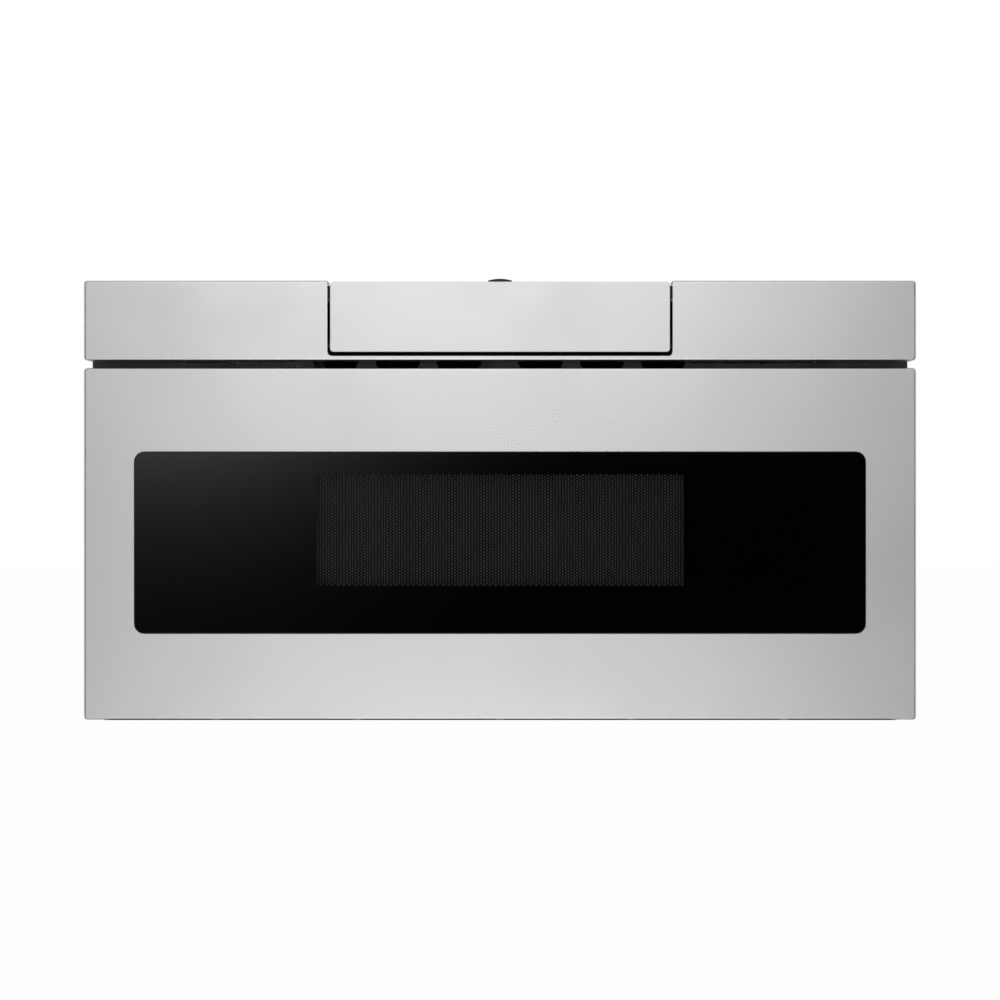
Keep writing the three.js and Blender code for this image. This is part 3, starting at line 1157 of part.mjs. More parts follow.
function topTrimPanel() {
  const tray = foldedTray(-HALF_FRONT, HALF_FRONT, TRIM_BOTTOM, TRIM_TOP);
  const notch = prism('y', roundRect(-NOTCH_HALF, NOTCH_HALF, NOTCH_BOTTOM, TRIM_TOP + 20, 4),
    -1, SHEET + 1);
  const top = box(-NOTCH_HALF, NOTCH_HALF, -1, SKIN_DEPTH + 1, TRIM_TOP - 10, TRIM_TOP + 1);
  const tabs = SIDES.map(([, side]) => box(side * (HALF_FRONT - SHEET - 14), side * (HALF_FRONT - SHEET + 0.2),
    SKIN_DEPTH - SHEET, FRONT_DEPTH - SEAT, TRIM_BOTTOM + 10, TRIM_TOP - 10));
  return cut(join(tray, ...tabs), notch, top);
}
piece('top_trim_panel', topTrimPanel(), stainless);

// ---------------------------------------------------------------- swinging control panel

// Its section is drawn round the pivot: a is measured back from it, b up from it.
function controlPrism(points, x0, x1) {
  return prism('x', outline(points.map(([a, b]) => [PIVOT_Y + a, PIVOT_Z + b])), x0, x1);
}

function arc(radius, from, to, steps) {
  const points = [];
  for (let i = 0; i <= steps; i += 1) {
    const angle = THREE.MathUtils.degToRad(from + ((to - from) * i) / steps);
    points.push([radius * Math.sin(angle), radius * Math.cos(angle)]);
  }
  return points;
}

const COVER_SHEET = 1.2;
const CONTROL_FACE = -PIVOT_Y + COVER_SHEET + SEAT; // front of the carrier, behind the cover
const CONTROL_CREST = CONTROL_TOP - PIVOT_Z - 0.4;
const CREST_BACK = CONTROL_FACE + 1.4;
const ALONG = [Math.cos(CONTROL_FACE_ANGLE), -Math.sin(CONTROL_FACE_ANGLE)];
const INWARD = [-Math.sin(CONTROL_FACE_ANGLE), -Math.cos(CONTROL_FACE_ANGLE)];

function onFace(along, inward) {
  return [
    CREST_BACK + along * ALONG[0] + inward * INWARD[0],
    CONTROL_CREST + along * ALONG[1] + inward * INWARD[1],
  ];
}

const FACE_LENGTH = CONTROL_GLASS_LENGTH + 2;
const HEEL = onFace(FACE_LENGTH, 0);
const HEEL_ANGLE = THREE.MathUtils.radToDeg(Math.atan2(HEEL[0], HEEL[1]));
const ARC_END = 95;
const CARRIER_HALF = HALF_CONTROL - 3;

function controlCarrier() {
  const outer = [
    [CONTROL_FACE, -5], [CONTROL_FACE, CONTROL_CREST], [CREST_BACK, CONTROL_CREST],
    ...arc(CARRIER_RADIUS, HEEL_ANGLE, ARC_END, 8),
  ];
  const roof = CONTROL_GLASS_THICK + SEAT + CARRIER_WALL;
  const inner = [
    [CONTROL_FACE + CARRIER_WALL, -9],
    [CONTROL_FACE + CARRIER_WALL, onFace(3, roof)[1]],
    onFace(3, roof), onFace(FACE_LENGTH - 5, roof),
    ...arc(CARRIER_RADIUS - CARRIER_WALL, HEEL_ANGLE + 6, ARC_END, 7), [CARRIER_RADIUS - CARRIER_WALL, -9],
  ];
  const hollow = controlPrism(inner, -CARRIER_HALF + CARRIER_WALL, CARRIER_HALF - CARRIER_WALL);
  const margin = (FACE_LENGTH - CONTROL_GLASS_LENGTH) / 2 - SEAT;
  const pocket = controlPrism([
    onFace(margin, -2), onFace(FACE_LENGTH - margin, -2),
    onFace(FACE_LENGTH - margin, CONTROL_GLASS_THICK + SEAT), onFace(margin, CONTROL_GLASS_THICK + SEAT),
  ], -CONTROL_GLASS_WIDTH / 2 - SEAT, CONTROL_GLASS_WIDTH / 2 + SEAT);
  const pins = SIDES.map(([, side]) => rod('x', PIVOT_Y, PIVOT_Z, PIVOT_RADIUS,
    side > 0 ? CARRIER_HALF - CARRIER_WALL : -PIN_END, side > 0 ? PIN_END : -CARRIER_HALF + CARRIER_WALL, 14));
  const sag = (BUMP_WIDTH ** 2 / 4 + BUMP_RISE ** 2) / (2 * BUMP_RISE);
  const reach = Math.asin(BUMP_WIDTH / 2 / sag);
  const crest = TRIM_TOP - 0.5;
  const bump = outline([
    [BUMP_WIDTH / 2, crest - 3],
    ...arcPoints(0, crest + 0.5 + BUMP_RISE - sag, sag, Math.PI / 2 - reach, Math.PI / 2 + reach, 8),
    [-BUMP_WIDTH / 2, crest - 3],
  ]);
  const pad = prism('y', bump, PIVOT_Y + CONTROL_FACE, PIVOT_Y + CREST_BACK);
  return join(cut(controlPrism(outer, -CARRIER_HALF, CARRIER_HALF), hollow, pocket), pad, ...pins);
}

const CRADLE_IN = NOTCH_HALF + 2.6; // inner faces of the end walls that hold the pins
const CRADLE_WALL = 3;
const PIN_END = CRADLE_IN + CRADLE_WALL - 0.5;
piece('control_carrier', controlCarrier(), blackPlastic);

piece('control_cover', prism('y', roundRect(
  -HALF_CONTROL, HALF_CONTROL, CONTROL_BOTTOM, CONTROL_TOP, 3), 0, COVER_SHEET, 0.4), stainless);

piece('control_glass', controlPrism([
  onFace(1, 0), onFace(FACE_LENGTH - 1, 0), onFace(FACE_LENGTH - 1, CONTROL_GLASS_THICK),
  onFace(1, CONTROL_GLASS_THICK),
], -CONTROL_GLASS_WIDTH / 2, CONTROL_GLASS_WIDTH / 2), blackGlass);

const BOARD_DEPTH = CONTROL_GLASS_THICK + 2 * SEAT + CARRIER_WALL;
piece('control_display', controlPrism([
  onFace(8, BOARD_DEPTH), onFace(FACE_LENGTH - 8, BOARD_DEPTH), onFace(FACE_LENGTH - 8, BOARD_DEPTH + 4),
  onFace(8, BOARD_DEPTH + 4),
], -110, 110), boardGreen);

// Cradle: two end walls with the pivot holes, a floor, and a curved back that the panel clears.
function controlHousing() {
  const radius = CARRIER_RADIUS + 2.5;
  const half = CRADLE_IN + CRADLE_WALL;
  const floorZ = TRIM_BOTTOM + SHEET + SEAT - PIVOT_Z;
  const front = SHEET + SEAT - PIVOT_Y;
  const wallTop = 40;
  const section = [
    [front, floorZ], [radius * 0.75, floorZ], ...arc(radius + CARRIER_WALL, 112, 42, 8), [front, wallTop],
  ];
  const block = controlPrism(section, -half, half);
  const room = controlPrism([
    [-40, floorZ + 1.3], [radius * 0.72, floorZ + 1.3], ...arc(radius, 98, 30, 8), [0, 80], [-40, 80],
  ], -CRADLE_IN, CRADLE_IN);
  const bores = rod('x', PIVOT_Y, PIVOT_Z, PIVOT_RADIUS + 0.35, -half - 1, half + 1, 18);
  return cut(block, room, bores);
}
piece('control_housing', controlHousing(), blackPlastic);

// ---------------------------------------------------------------- place the whole object

drawerPart.position.set(0, -BODY_BACK / 2, 0);
drawerPart.updateMatrixWorld(true);

export default drawerPart;
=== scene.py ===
import json
import math

import bpy
from mathutils import Matrix, Vector


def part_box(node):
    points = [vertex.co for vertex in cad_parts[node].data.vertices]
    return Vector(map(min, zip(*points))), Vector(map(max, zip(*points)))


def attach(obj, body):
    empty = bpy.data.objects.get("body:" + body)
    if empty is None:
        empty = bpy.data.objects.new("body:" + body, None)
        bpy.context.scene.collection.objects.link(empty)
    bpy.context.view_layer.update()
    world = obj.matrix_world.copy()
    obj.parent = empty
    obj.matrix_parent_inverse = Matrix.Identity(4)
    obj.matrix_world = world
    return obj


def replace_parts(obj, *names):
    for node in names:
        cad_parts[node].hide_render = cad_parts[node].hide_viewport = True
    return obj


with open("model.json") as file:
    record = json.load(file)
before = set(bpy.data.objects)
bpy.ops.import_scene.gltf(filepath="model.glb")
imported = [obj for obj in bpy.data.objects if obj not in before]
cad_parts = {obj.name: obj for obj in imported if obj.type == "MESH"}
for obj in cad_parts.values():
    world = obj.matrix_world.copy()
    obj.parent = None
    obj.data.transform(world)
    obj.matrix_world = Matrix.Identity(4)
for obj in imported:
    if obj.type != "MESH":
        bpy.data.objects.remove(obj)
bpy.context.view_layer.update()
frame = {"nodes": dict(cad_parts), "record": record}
body_of = {
    node: body
    for body, nodes in frame["record"]["behaviour"]["bodies"].items()
    for node in nodes
}


# ---------------------------------------------------------------------------
# Camera, floor and light.
# The oven stands on a pale table that runs on into white. A tall soft panel
# of light hangs in front, above and below the lens, and the room is even.
# ---------------------------------------------------------------------------
CAMERA_PLACE = (0, -3.0146, 0.2007)
LENS = 106.65


def wire(tree, kind, *inputs, **settings):
    """Adds a node. An input is a socket, a value, or None to leave it as it is."""
    node = tree.nodes.new("ShaderNode" + kind)
    for key, value in settings.items():
        setattr(node, key, value)
    for socket, value in zip(node.inputs, inputs):
        if isinstance(value, bpy.types.NodeSocket):
            tree.links.new(value, socket)
        elif value is not None:
            socket.default_value = value
    return node


def sums(tree, operation, *inputs, clamp=False):
    return wire(
        tree, "Math", *inputs, operation=operation, use_clamp=clamp
    ).outputs[0]


def smooth(tree, value, low, high, to_low=0.0, to_high=1.0):
    """A soft step of value between low and high."""
    return wire(
        tree, "MapRange", value, low, high, to_low, to_high,
        interpolation_type="SMOOTHSTEP",
    ).outputs[0]


scene = bpy.context.scene
scene.view_settings.view_transform = "Standard"

camera_data = bpy.data.cameras.new("front_camera")
camera_data.lens = LENS
camera_data.sensor_width = 36
camera_data.sensor_fit = "HORIZONTAL"
camera_data.clip_start = 0.01
camera = bpy.data.objects.new("front_camera", camera_data)
camera.location = CAMERA_PLACE
camera.rotation_euler = (math.pi / 2, 0, 0)
scene.collection.objects.link(camera)
scene.camera = camera

world = bpy.data.worlds.new("studio")
world.use_nodes = True
scene.world = world
tree = world.node_tree
tree.nodes.clear()
ray = wire(tree, "SeparateXYZ", wire(tree, "TexCoord").outputs["Generated"])
ahead = sums(tree, "MAXIMUM", sums(tree, "MULTIPLY", ray.outputs[1], -1.0), 0.02)
across = sums(tree, "DIVIDE", ray.outputs[0], ahead)
upward = sums(tree, "DIVIDE", ray.outputs[2], ahead)
# the even room, a little brighter overhead, with black screens beside the panel
front = smooth(tree, ray.outputs[1], 0.1, -0.5)
side = sums(tree, "ABSOLUTE", across)
height = sums(tree, "ABSOLUTE", sums(tree, "ADD", upward, 0.017))


def patch_of_light(width, width_end, tall, tall_end):
    shape = sums(
        tree, "MULTIPLY",
        smooth(tree, side, width_end, width),
        smooth(tree, height, tall_end, tall),
    )
    return sums(tree, "MULTIPLY", shape, front)


room = smooth(tree, ray.outputs[2], -0.2, 1.0, 0.6, 0.9)
screens = patch_of_light(0.55, 0.8, 0.8, 1.3)
room = wire(tree, "Mix", screens, None, room, 0.14).outputs[0]
# the soft panel, and the dark gap at the lens that polished glass mirrors
side = sums(tree, "ABSOLUTE", sums(tree, "ADD", across, 0.011))
room = sums(tree, "MULTIPLY_ADD", patch_of_light(0.1, 0.155, 0.54, 0.95), 1.5, room)
side = sums(tree, "ABSOLUTE", across)
gap = patch_of_light(0.127, 0.142, 0.036, 0.046)
# one corner of the gap is lit
fade = sums(tree, "DIVIDE", sums(tree, "ADD", across, 0.118), 0.073)
fade = sums(tree, "MULTIPLY", fade, fade)
drop = sums(tree, "DIVIDE", sums(tree, "SUBTRACT", 0.0135, upward), 0.023)
drop = sums(tree, "MAXIMUM", drop, -0.5)
glow = sums(
    tree, "MULTIPLY",
    sums(tree, "EXPONENT", sums(tree, "MULTIPLY", sums(tree, "ADD", fade, drop), -1.0)),
    0.72,
)
level = wire(tree, "Mix", gap, None, room, glow).outputs[0]
path = wire(tree, "LightPath")
seen = wire(tree, "Mix", path.outputs["Is Camera Ray"], None, level, 1.0).outputs[0]
lit = wire(tree, "Background", (1, 1, 1, 1), seen)
wire(tree, "OutputWorld", lit.outputs[0])

bpy.ops.object.select_all(action="DESELECT")
bpy.ops.mesh.primitive_plane_add(size=1, location=(0, 2.1, 0))
table = bpy.context.object
table.name = "pale_table"
table.scale = (9, 8, 1)
bpy.ops.object.transform_apply(location=True, rotation=True, scale=True)
matter = bpy.data.materials.new("pale_table")
matter.use_nodes = True
tree = matter.node_tree
tree.nodes.clear()
path = wire(tree, "LightPath")
mottle = wire(tree, "TexNoise", wire(tree, "TexCoord").outputs["Object"], None, 3.0, 4.0)
tone = wire(
    tree, "Mix", mottle.outputs[0], None, None, None, None, None,
    (0.86, 0.86, 0.86, 1), (0.89, 0.89, 0.885, 1), data_type="RGBA",
)
paper = wire(tree, "BsdfPrincipled", tone.outputs[2])
paper.inputs["Roughness"].default_value = 0.8
white = wire(tree, "Emission", (1, 1, 1, 1), 1.0)
share = sums(tree, "MULTIPLY", path.outputs["Is Camera Ray"], 0.97)
sheet = wire(tree, "MixShader", share, paper.outputs[0], white.outputs[0])
wire(
    tree, "OutputMaterial",
    wire(
        tree, "MixShader", path.outputs["Is Glossy Ray"],
        sheet.outputs[0], wire(tree, "BsdfTransparent").outputs[0],
    ).outputs[0],
)
table.data.materials.append(matter)


# ---------------------------------------------------------------------------
# Cabinet: base pan, side panels, top cover and rear panel.
# Folded from galvanised steel with pressed beads and slots, and held
# together with cross-head screws along the lips.
# ---------------------------------------------------------------------------
NUMBER, PLACE = "NodeSocketFloat", "NodeSocketVector"
BROKEN_EDGE = 0.0003
SMOOTH_UP_TO = math.radians(35)
SCREW_HEAD = 0.0042


def group(name, inputs, output):
    """A shader node group with named sockets, as (tree, its inputs, its output)."""
    made = bpy.data.node_groups.new(name, "ShaderNodeTree")
    for label, kind, value in inputs:
        socket = made.interface.new_socket(label, in_out="INPUT", socket_type=kind)
        if value is not None:
            socket.default_value = value
    made.interface.new_socket(output, in_out="OUTPUT", socket_type=NUMBER)
    given = made.nodes.new("NodeGroupInput").outputs
    return made, given, made.nodes.new("NodeGroupOutput").inputs[0]


def use(tree, made, *inputs):
    """Places a group in a material, with its own values."""
    node = tree.nodes.new("ShaderNodeGroup")
    node.node_tree = made
    for socket, value in zip(node.inputs, inputs):
        if isinstance(value, bpy.types.NodeSocket):
            tree.links.new(value, socket)
        elif value is not None:
            socket.default_value = value
    return node.outputs[0]


def noise(tree, place, scale, detail=4.0, roughness=0.6):
    return wire(tree, "TexNoise", place, None, scale, detail, roughness).outputs[0]


def tint(tree, factor, dark, light):
    """A colour between dark and light; either may be a socket."""
    ends = [
        end if isinstance(end, bpy.types.NodeSocket) else (*end, 1)
        for end in (dark, light)
    ]
    return wire(
        tree, "Mix", factor, None, None, None, None, None, *ends, data_type="RGBA"
    ).outputs[2]


def finish(name, metallic=0.0, coat=0.0, **sockets):
    """A material: itself, its tree, its shader and the object's coordinates."""
    made = bpy.data.materials.new(name)
    made.use_nodes = True
    tree = made.node_tree
    shader = tree.nodes["Principled BSDF"]
    shader.inputs["Metallic"].default_value = metallic
    shader.inputs["Coat Weight"].default_value = coat
    for label, value in sockets.items():
        shader.inputs[label.replace("_", " ")].default_value = value
    return made, tree, shader, wire(tree, "TexCoord").outputs["Object"]


def paint(tree, shader, colour):
    tree.links.new(colour, shader.inputs["Base Color"])


def rough(tree, shader, factor, low, high):
    tree.links.new(
        wire(tree, "MapRange", factor, 0.0, 1.0, low, high).outputs[0],
        shader.inputs["Roughness"],
    )


def relief(tree, shader, height, depth, strength=1.0):
    bump = wire(tree, "Bump", strength, depth)
    tree.links.new(height, bump.inputs["Height"])
    tree.links.new(bump.outputs[0], shader.inputs["Normal"])


# cloudy marks of hands and cloths, from 0 to 1
marks, given, gives = group(
    "handling_marks", [("Place", PLACE, None), ("Scale", NUMBER, 14.0)], "Mark"
)
cloud = wire(marks, "TexNoise", given[0], None, given[1], 5.0, 0.55)
marks.links.new(smooth(marks, cloud.outputs[0], 0.42, 0.72), gives)

# zinc crystals: flat patches, each with its own tone
spangle, given, gives = group(
    "zinc_spangle", [("Place", PLACE, None), ("Scale", NUMBER, 70.0)], "Tone"
)
wander = wire(spangle, "TexNoise", given[0], None, 60.0, 2.0)
moved = wire(
    spangle, "VectorMath", wander.outputs[1], (0.012,) * 3, given[0],
    operation="MULTIPLY_ADD",
)
crystals = wire(spangle, "TexVoronoi", moved.outputs[0], None, given[1])
spangle.links.new(
    wire(spangle, "SeparateXYZ", crystals.outputs["Color"]).outputs[0], gives
)

# dust that settles on what faces up
dust, given, gives = group(
    "settled_dust", [("Place", PLACE, None), ("Amount", NUMBER, 0.3)], "Dust"
)
facing = wire(dust, "SeparateXYZ", wire(dust, "NewGeometry").outputs["Normal"])
settled = sums(
    dust, "MULTIPLY",
    smooth(dust, facing.outputs[2], 0.5, 1.0),
    smooth(dust, noise(dust, given[0], 30.0, 6.0), 0.3, 0.75),
)
dust.links.new(sums(dust, "MULTIPLY", settled, given[1]), gives)

galvanised, tree, shader, place = finish("galvanised_steel", 0.85)
tone = use(tree, spangle, place, 230.0)
film = use(tree, dust, place, 0.35)
crystal = tint(tree, tone, (0.54, 0.56, 0.575), (0.64, 0.66, 0.67))
cloudy = tint(tree, noise(tree, place, 6.0), (0.9, 0.9, 0.9), (1, 1, 1))
crystal = wire(
    tree, "Mix", 1.0, None, None, None, None, None, crystal, cloudy,
    data_type="RGBA", blend_type="MULTIPLY",
).outputs[2]
paint(tree, shader, tint(tree, film, crystal, (0.42, 0.41, 0.38)))
rough(tree, shader, tone, 0.33, 0.45)
relief(tree, shader, noise(tree, place, 25.0, 2.0), 0.0006, 0.12)

screw_zinc, tree, shader, place = finish("bright_zinc_screws", 1.0)
paint(tree, shader, tint(tree, noise(tree, place, 300.0), (0.62, 0.63, 0.62), (0.78, 0.78, 0.74)))
rough(tree, shader, use(tree, marks, place, 90.0), 0.22, 0.4)


def only(piece):
    bpy.ops.object.select_all(action="DESELECT")
    bpy.context.view_layer.objects.active = piece
    piece.select_set(True)


def settle(piece, name, material, body):
    """Names a finished piece, places it in its mesh and fixes it to its body."""
    only(piece)
    bpy.ops.object.transform_apply(location=True, rotation=True, scale=True)
    piece.name = piece.data.name = name
    if not piece.data.materials:
        piece.data.materials.append(material)
    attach(piece, body)
    return piece


def apply(piece, kind, **settings):
    change = piece.modifiers.new(kind.lower(), kind)
    for key, value in settings.items():
        setattr(change, key, value)
    bpy.context.view_layer.objects.active = piece
    bpy.ops.object.modifier_apply(modifier=change.name)


def dress(node, material, edge=BROKEN_EDGE, patches=(), merge=True):
    """
    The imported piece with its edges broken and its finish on, in place of the
    bare node. A patch is a material and a test of a face's middle and normal.
    Flat faces are merged first, unless they have too many holes for that. Where
    a broken edge would fold such faces over, edge is None.
    """
    piece = bpy.data.objects.new(node, frame["nodes"][node].data.copy())
    scene.collection.objects.link(piece)
    only(piece)
    bpy.ops.object.mode_set(mode="EDIT")
    bpy.ops.mesh.select_all(action="SELECT")
    bpy.ops.mesh.remove_doubles(threshold=2e-6)
    if merge:
        bpy.ops.mesh.dissolve_limited(angle_limit=math.radians(0.4))
    bpy.ops.object.mode_set(mode="OBJECT")
    if edge:
        apply(
            piece, "BEVEL", width=edge, segments=2, limit_method="ANGLE",
            angle_limit=math.radians(40), miter_outer="MITER_ARC",
        )
    bpy.ops.object.shade_smooth_by_angle(angle=SMOOTH_UP_TO)
    apply(piece, "WEIGHTED_NORMAL", keep_sharp=True, weight=100)
    piece.data.materials.clear()
    for finish_on in (material, *[patch[0] for patch in patches]):
        piece.data.materials.append(finish_on)
    for face in piece.data.polygons:
        for number, (_, test) in enumerate(patches, 1):
            if test(face.center, face.normal):
                face.material_index = number
    settle(piece, node + "_made", material, body_of[node])
    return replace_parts(piece, node)


def screw_master():
    """One cross-head screw, its head on z = 0 and facing up."""
    bpy.ops.object.select_all(action="DESELECT")
    bpy.ops.mesh.primitive_cylinder_add(
        vertices=20, radius=SCREW_HEAD, depth=0.0024, location=(0, 0, 0.0011)
    )
    head = bpy.context.object
    bpy.ops.object.mode_set(mode="EDIT")
    bpy.ops.mesh.select_all(action="DESELECT")
    bpy.ops.object.mode_set(mode="OBJECT")
    for edge in head.data.edges:
        ends = [head.data.vertices[i].co.z for i in edge.vertices]
        edge.select = min(ends) > 0.001
    bpy.ops.object.mode_set(mode="EDIT")
    bpy.ops.mesh.select_mode(type="EDGE")
    bpy.ops.mesh.bevel(offset=0.0014, segments=3, profile=0.6)
    bpy.ops.object.mode_set(mode="OBJECT")
    for turn in (0, math.pi / 2):
        bpy.ops.mesh.primitive_cube_add(
            size=1, location=(0, 0, 0.0024), rotation=(0, 0, turn),
            scale=(0.0009, 0.0052, 0.0022),
        )
        blade = bpy.context.object
        apply(head, "BOOLEAN", object=blade, operation="DIFFERENCE", solver="EXACT")
        bpy.data.objects.remove(blade)
    only(head)
    bpy.ops.object.transform_apply(location=True, rotation=True, scale=True)
    bpy.ops.object.shade_smooth_by_angle(angle=SMOOTH_UP_TO)
    return head


master_screw = screw_master()


def joined(pieces):
    """The pieces made into the first of them."""
    only(pieces[0])
    for piece in pieces:
        piece.select_set(True)
    bpy.ops.object.join()
    return pieces[0]


def screws(name, body, facing, places, size=1.0, material=None):
    """Copies of the screw at places on a face, joined as one set."""
    turn_to = Vector(facing).to_track_quat("Z", "Y")
    copies = []
    for number, spot in enumerate(places):
        copy = bpy.data.objects.new(name, master_screw.data.copy())
        scene.collection.objects.link(copy)
        twist = Matrix.Rotation(number * 0.87, 4, "Z") @ Matrix.Scale(size, 4)
        copy.matrix_world = Matrix.Translation(spot) @ turn_to.to_matrix().to_4x4() @ twist
        copies.append(copy)
    return settle(joined(copies), name, material or screw_zinc, body)


def row(first, last, count):
    first, last = Vector(first), Vector(last)
    return [first.lerp(last, number / (count - 1)) for number in range(count)]


for node in "side_panel_left side_panel_right top_cover".split():
    dress(node, galvanised)
dress("base_pan", galvanised, merge=False)
dress("rear_panel", galvanised, edge=None, merge=False)

side_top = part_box("side_panel_right")[1].z
side_face = 0.3555
for label, side in (("left", -1), ("right", 1)):
    face = side * side_face
    places = row((face, -0.24, 0.022), (face, 0.28, 0.022), 5)
    places += row((face, -0.24, side_top - 0.006), (face, 0.28, side_top - 0.006), 5)
    places += row((face, 0.305, 0.045), (face, 0.305, side_top - 0.03), 4)
    screws(f"side_screws_{label}", "cabinet", (side, 0, 0), places)
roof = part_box("top_cover")[1].z - 0.0016
places = row((-0.34, 0.304, roof), (0.34, 0.304, roof), 5)
places += row((-0.34, -0.262, roof), (0.34, -0.262, roof), 2)
screws("top_screws", "cabinet", (0, 0, 1), places)


# ---------------------------------------------------------------------------
# Cord gland: the black rubber ring in the rear panel for the supply cord.
# It is pushed in from outside and grips the sheet.
# ---------------------------------------------------------------------------
rubber, tree, shader, place = finish("rubber")
tone = noise(tree, place, 500.0)
paint(tree, shader, tint(tree, tone, (0.012, 0.012, 0.012), (0.03, 0.03, 0.029)))
rough(tree, shader, use(tree, marks, place, 60.0), 0.55, 0.8)
dress("cord_gland", rubber, 0.0008)


# ---------------------------------------------------------------------------
# Front plate: dark painted steel behind the door. It carries the cavity and
# the latches, and lets the cooling air out above the door.
# ---------------------------------------------------------------------------
dark_plate, tree, shader, place = finish("dark_painted_steel")
rubbed = use(tree, marks, place, 22.0)
paint(tree, shader, tint(tree, rubbed, (0.058, 0.058, 0.06), (0.08, 0.08, 0.082)))
rough(tree, shader, rubbed, 0.36, 0.5)
relief(tree, shader, noise(tree, place, 420.0, 2.0), 0.00002, 0.6)
dress("front_frame", dark_plate)

black_screws, tree, shader, place = finish("blackened_screws", 0.7)
paint(tree, shader, tint(tree, noise(tree, place, 260.0), (0.03, 0.03, 0.032), (0.07, 0.07, 0.072)))
rough(tree, shader, use(tree, marks, place, 90.0), 0.3, 0.5)
plate_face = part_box("front_frame")[0].y
places = [
    Vector((side * x, plate_face, z))
    for side in (-1, 1)
    for x, z in ((0.318, 0.176), (0.318, 0.224), (0.335, 0.03), (0.335, 0.12), (0.335, 0.312))
]
screws("front_plate_screws", "cabinet", (0, -1, 0), places, 0.55, black_screws)


# ---------------------------------------------------------------------------
# Oven cavity: a welded steel box with a speckled grey enamel, baked on.
# Air goes in through the holes of one wall and out through the other.
# ---------------------------------------------------------------------------
def speckled_enamel():
    made, tree, shader, place = finish("speckled_enamel", 0.0, 0.35, Coat_Roughness=0.12)
    cells = wire(tree, "TexVoronoi", place, None, 620.0)
    pick = wire(tree, "SeparateXYZ", cells.outputs["Color"])
    dot = sums(
        tree, "MULTIPLY", smooth(tree, cells.outputs["Distance"], 0.42, 0.26),
        sums(tree, "GREATER_THAN", pick.outputs[0], 0.72),
    )
    ground = tint(tree, noise(tree, place, 7.0), (0.27, 0.275, 0.28), (0.31, 0.315, 0.32))
    fleck = tint(tree, pick.outputs[1], (0.08, 0.08, 0.085), (0.62, 0.63, 0.63))
    paint(tree, shader, tint(tree, dot, ground, fleck))
    rough(tree, shader, use(tree, marks, place, 15.0), 0.28, 0.4)
    relief(tree, shader, noise(tree, place, 190.0, 2.0), 0.00006, 0.5)
    return made


enamel = speckled_enamel()
dress("oven_cavity", enamel, edge=None, merge=False)


# ---------------------------------------------------------------------------
# Microwave feed: a mica sheet under the roof, the stirrer with its sheet
# metal dome and small motor, and the waveguide with the magnetron below it.
# ---------------------------------------------------------------------------
mica, tree, shader, place = finish("mica_board")
flakes = wire(tree, "TexVoronoi", place, None, 260.0)
flake_tone = wire(tree, "SeparateXYZ", flakes.outputs["Color"]).outputs[0]
paint(tree, shader, tint(tree, flake_tone, (0.46, 0.38, 0.25), (0.66, 0.58, 0.43)))
rough(tree, shader, noise(tree, place, 80.0), 0.35, 0.6)
relief(tree, shader, flakes.outputs["Distance"], 0.00005, 0.5)
dress("waveguide_cover", mica, 0.0001)
low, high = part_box("waveguide_cover")
places = [Vector((x, y, low.z)) for x in (-0.068, 0.068) for y in (low.y + 0.01, high.y - 0.01)]
screws("mica_screws", "cabinet", (0, 0, -1), places, 0.7)

plated, tree, shader, place = finish("zinc_plated_steel", 1.0)
sheen = noise(tree, place, 5.0, 3.0)
paint(tree, shader, tint(tree, sheen, (0.58, 0.605, 0.64), (0.72, 0.715, 0.68)))
rough(tree, shader, use(tree, marks, place, 28.0), 0.2, 0.36)
relief(tree, shader, noise(tree, place, 1200.0, 2.0), 0.000008, 0.4)

aluminium, tree, shader, place = finish("aluminium", 1.0)
paint(tree, shader, tint(tree, noise(tree, place, 40.0), (0.72, 0.73, 0.74), (0.82, 0.82, 0.82)))
rough(tree, shader, use(tree, marks, place, 35.0), 0.28, 0.46)

copper, tree, shader, place = finish("lacquered_copper", 1.0, 0.5, Coat_Roughness=0.1)
turns = wire(tree, "TexWave", place, None, 420.0, 0.4, 1.0, bands_direction="Z")
paint(tree, shader, tint(tree, noise(tree, place, 60.0), (0.5, 0.2, 0.08), (0.68, 0.32, 0.15)))
rough(tree, shader, noise(tree, place, 90.0), 0.22, 0.38)
relief(tree, shader, turns.outputs[1], 0.0003, 0.8)

porcelain, tree, shader, place = finish("porcelain")
paint(tree, shader, tint(tree, noise(tree, place, 200.0), (0.78, 0.76, 0.7), (0.86, 0.85, 0.8)))
rough(tree, shader, noise(tree, place, 90.0), 0.3, 0.45)

dress("stirrer_dome", galvanised, merge=False)
dress("waveguide", galvanised)
dress("stirrer_blade", aluminium)
dress("stirrer_motor", plated)
low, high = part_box("stirrer_motor")
screws(
    "stirrer_motor_screws", "cabinet", (0, 0, 1),
    [Vector((x, (low.y + high.y) / 2, low.z + 0.0015)) for x in (-0.029, 0.029)], 0.7,
)
low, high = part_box("magnetron")
tube_y = (low.y + high.y) / 2
flange_z = high.z - 0.026
dress(
    "magnetron", plated, None,
    (
        (aluminium, lambda at, facing: flange_z - 0.0545 < at.z < flange_z - 0.012
            and abs(at.x) < 0.0371 and abs(at.y - tube_y) < 0.0342),
        (copper, lambda at, facing: flange_z - 0.0655 < at.z < flange_z - 0.003
            and abs(facing.z) < 0.5 and math.hypot(at.x, at.y - tube_y) < 0.0213),
        (porcelain, lambda at, facing: flange_z + 0.002 < at.z < high.z - 0.0005
            and abs(facing.z) < 0.5),
    ),
    merge=False,
)
places = [
    Vector((x, tube_y + y, flange_z - 0.003))
    for x in (-0.0395, 0.0395) for y in (-0.0395, 0.0395)
]
screws("magnetron_screws", "cabinet", (0, 0, -1), places, 0.8)


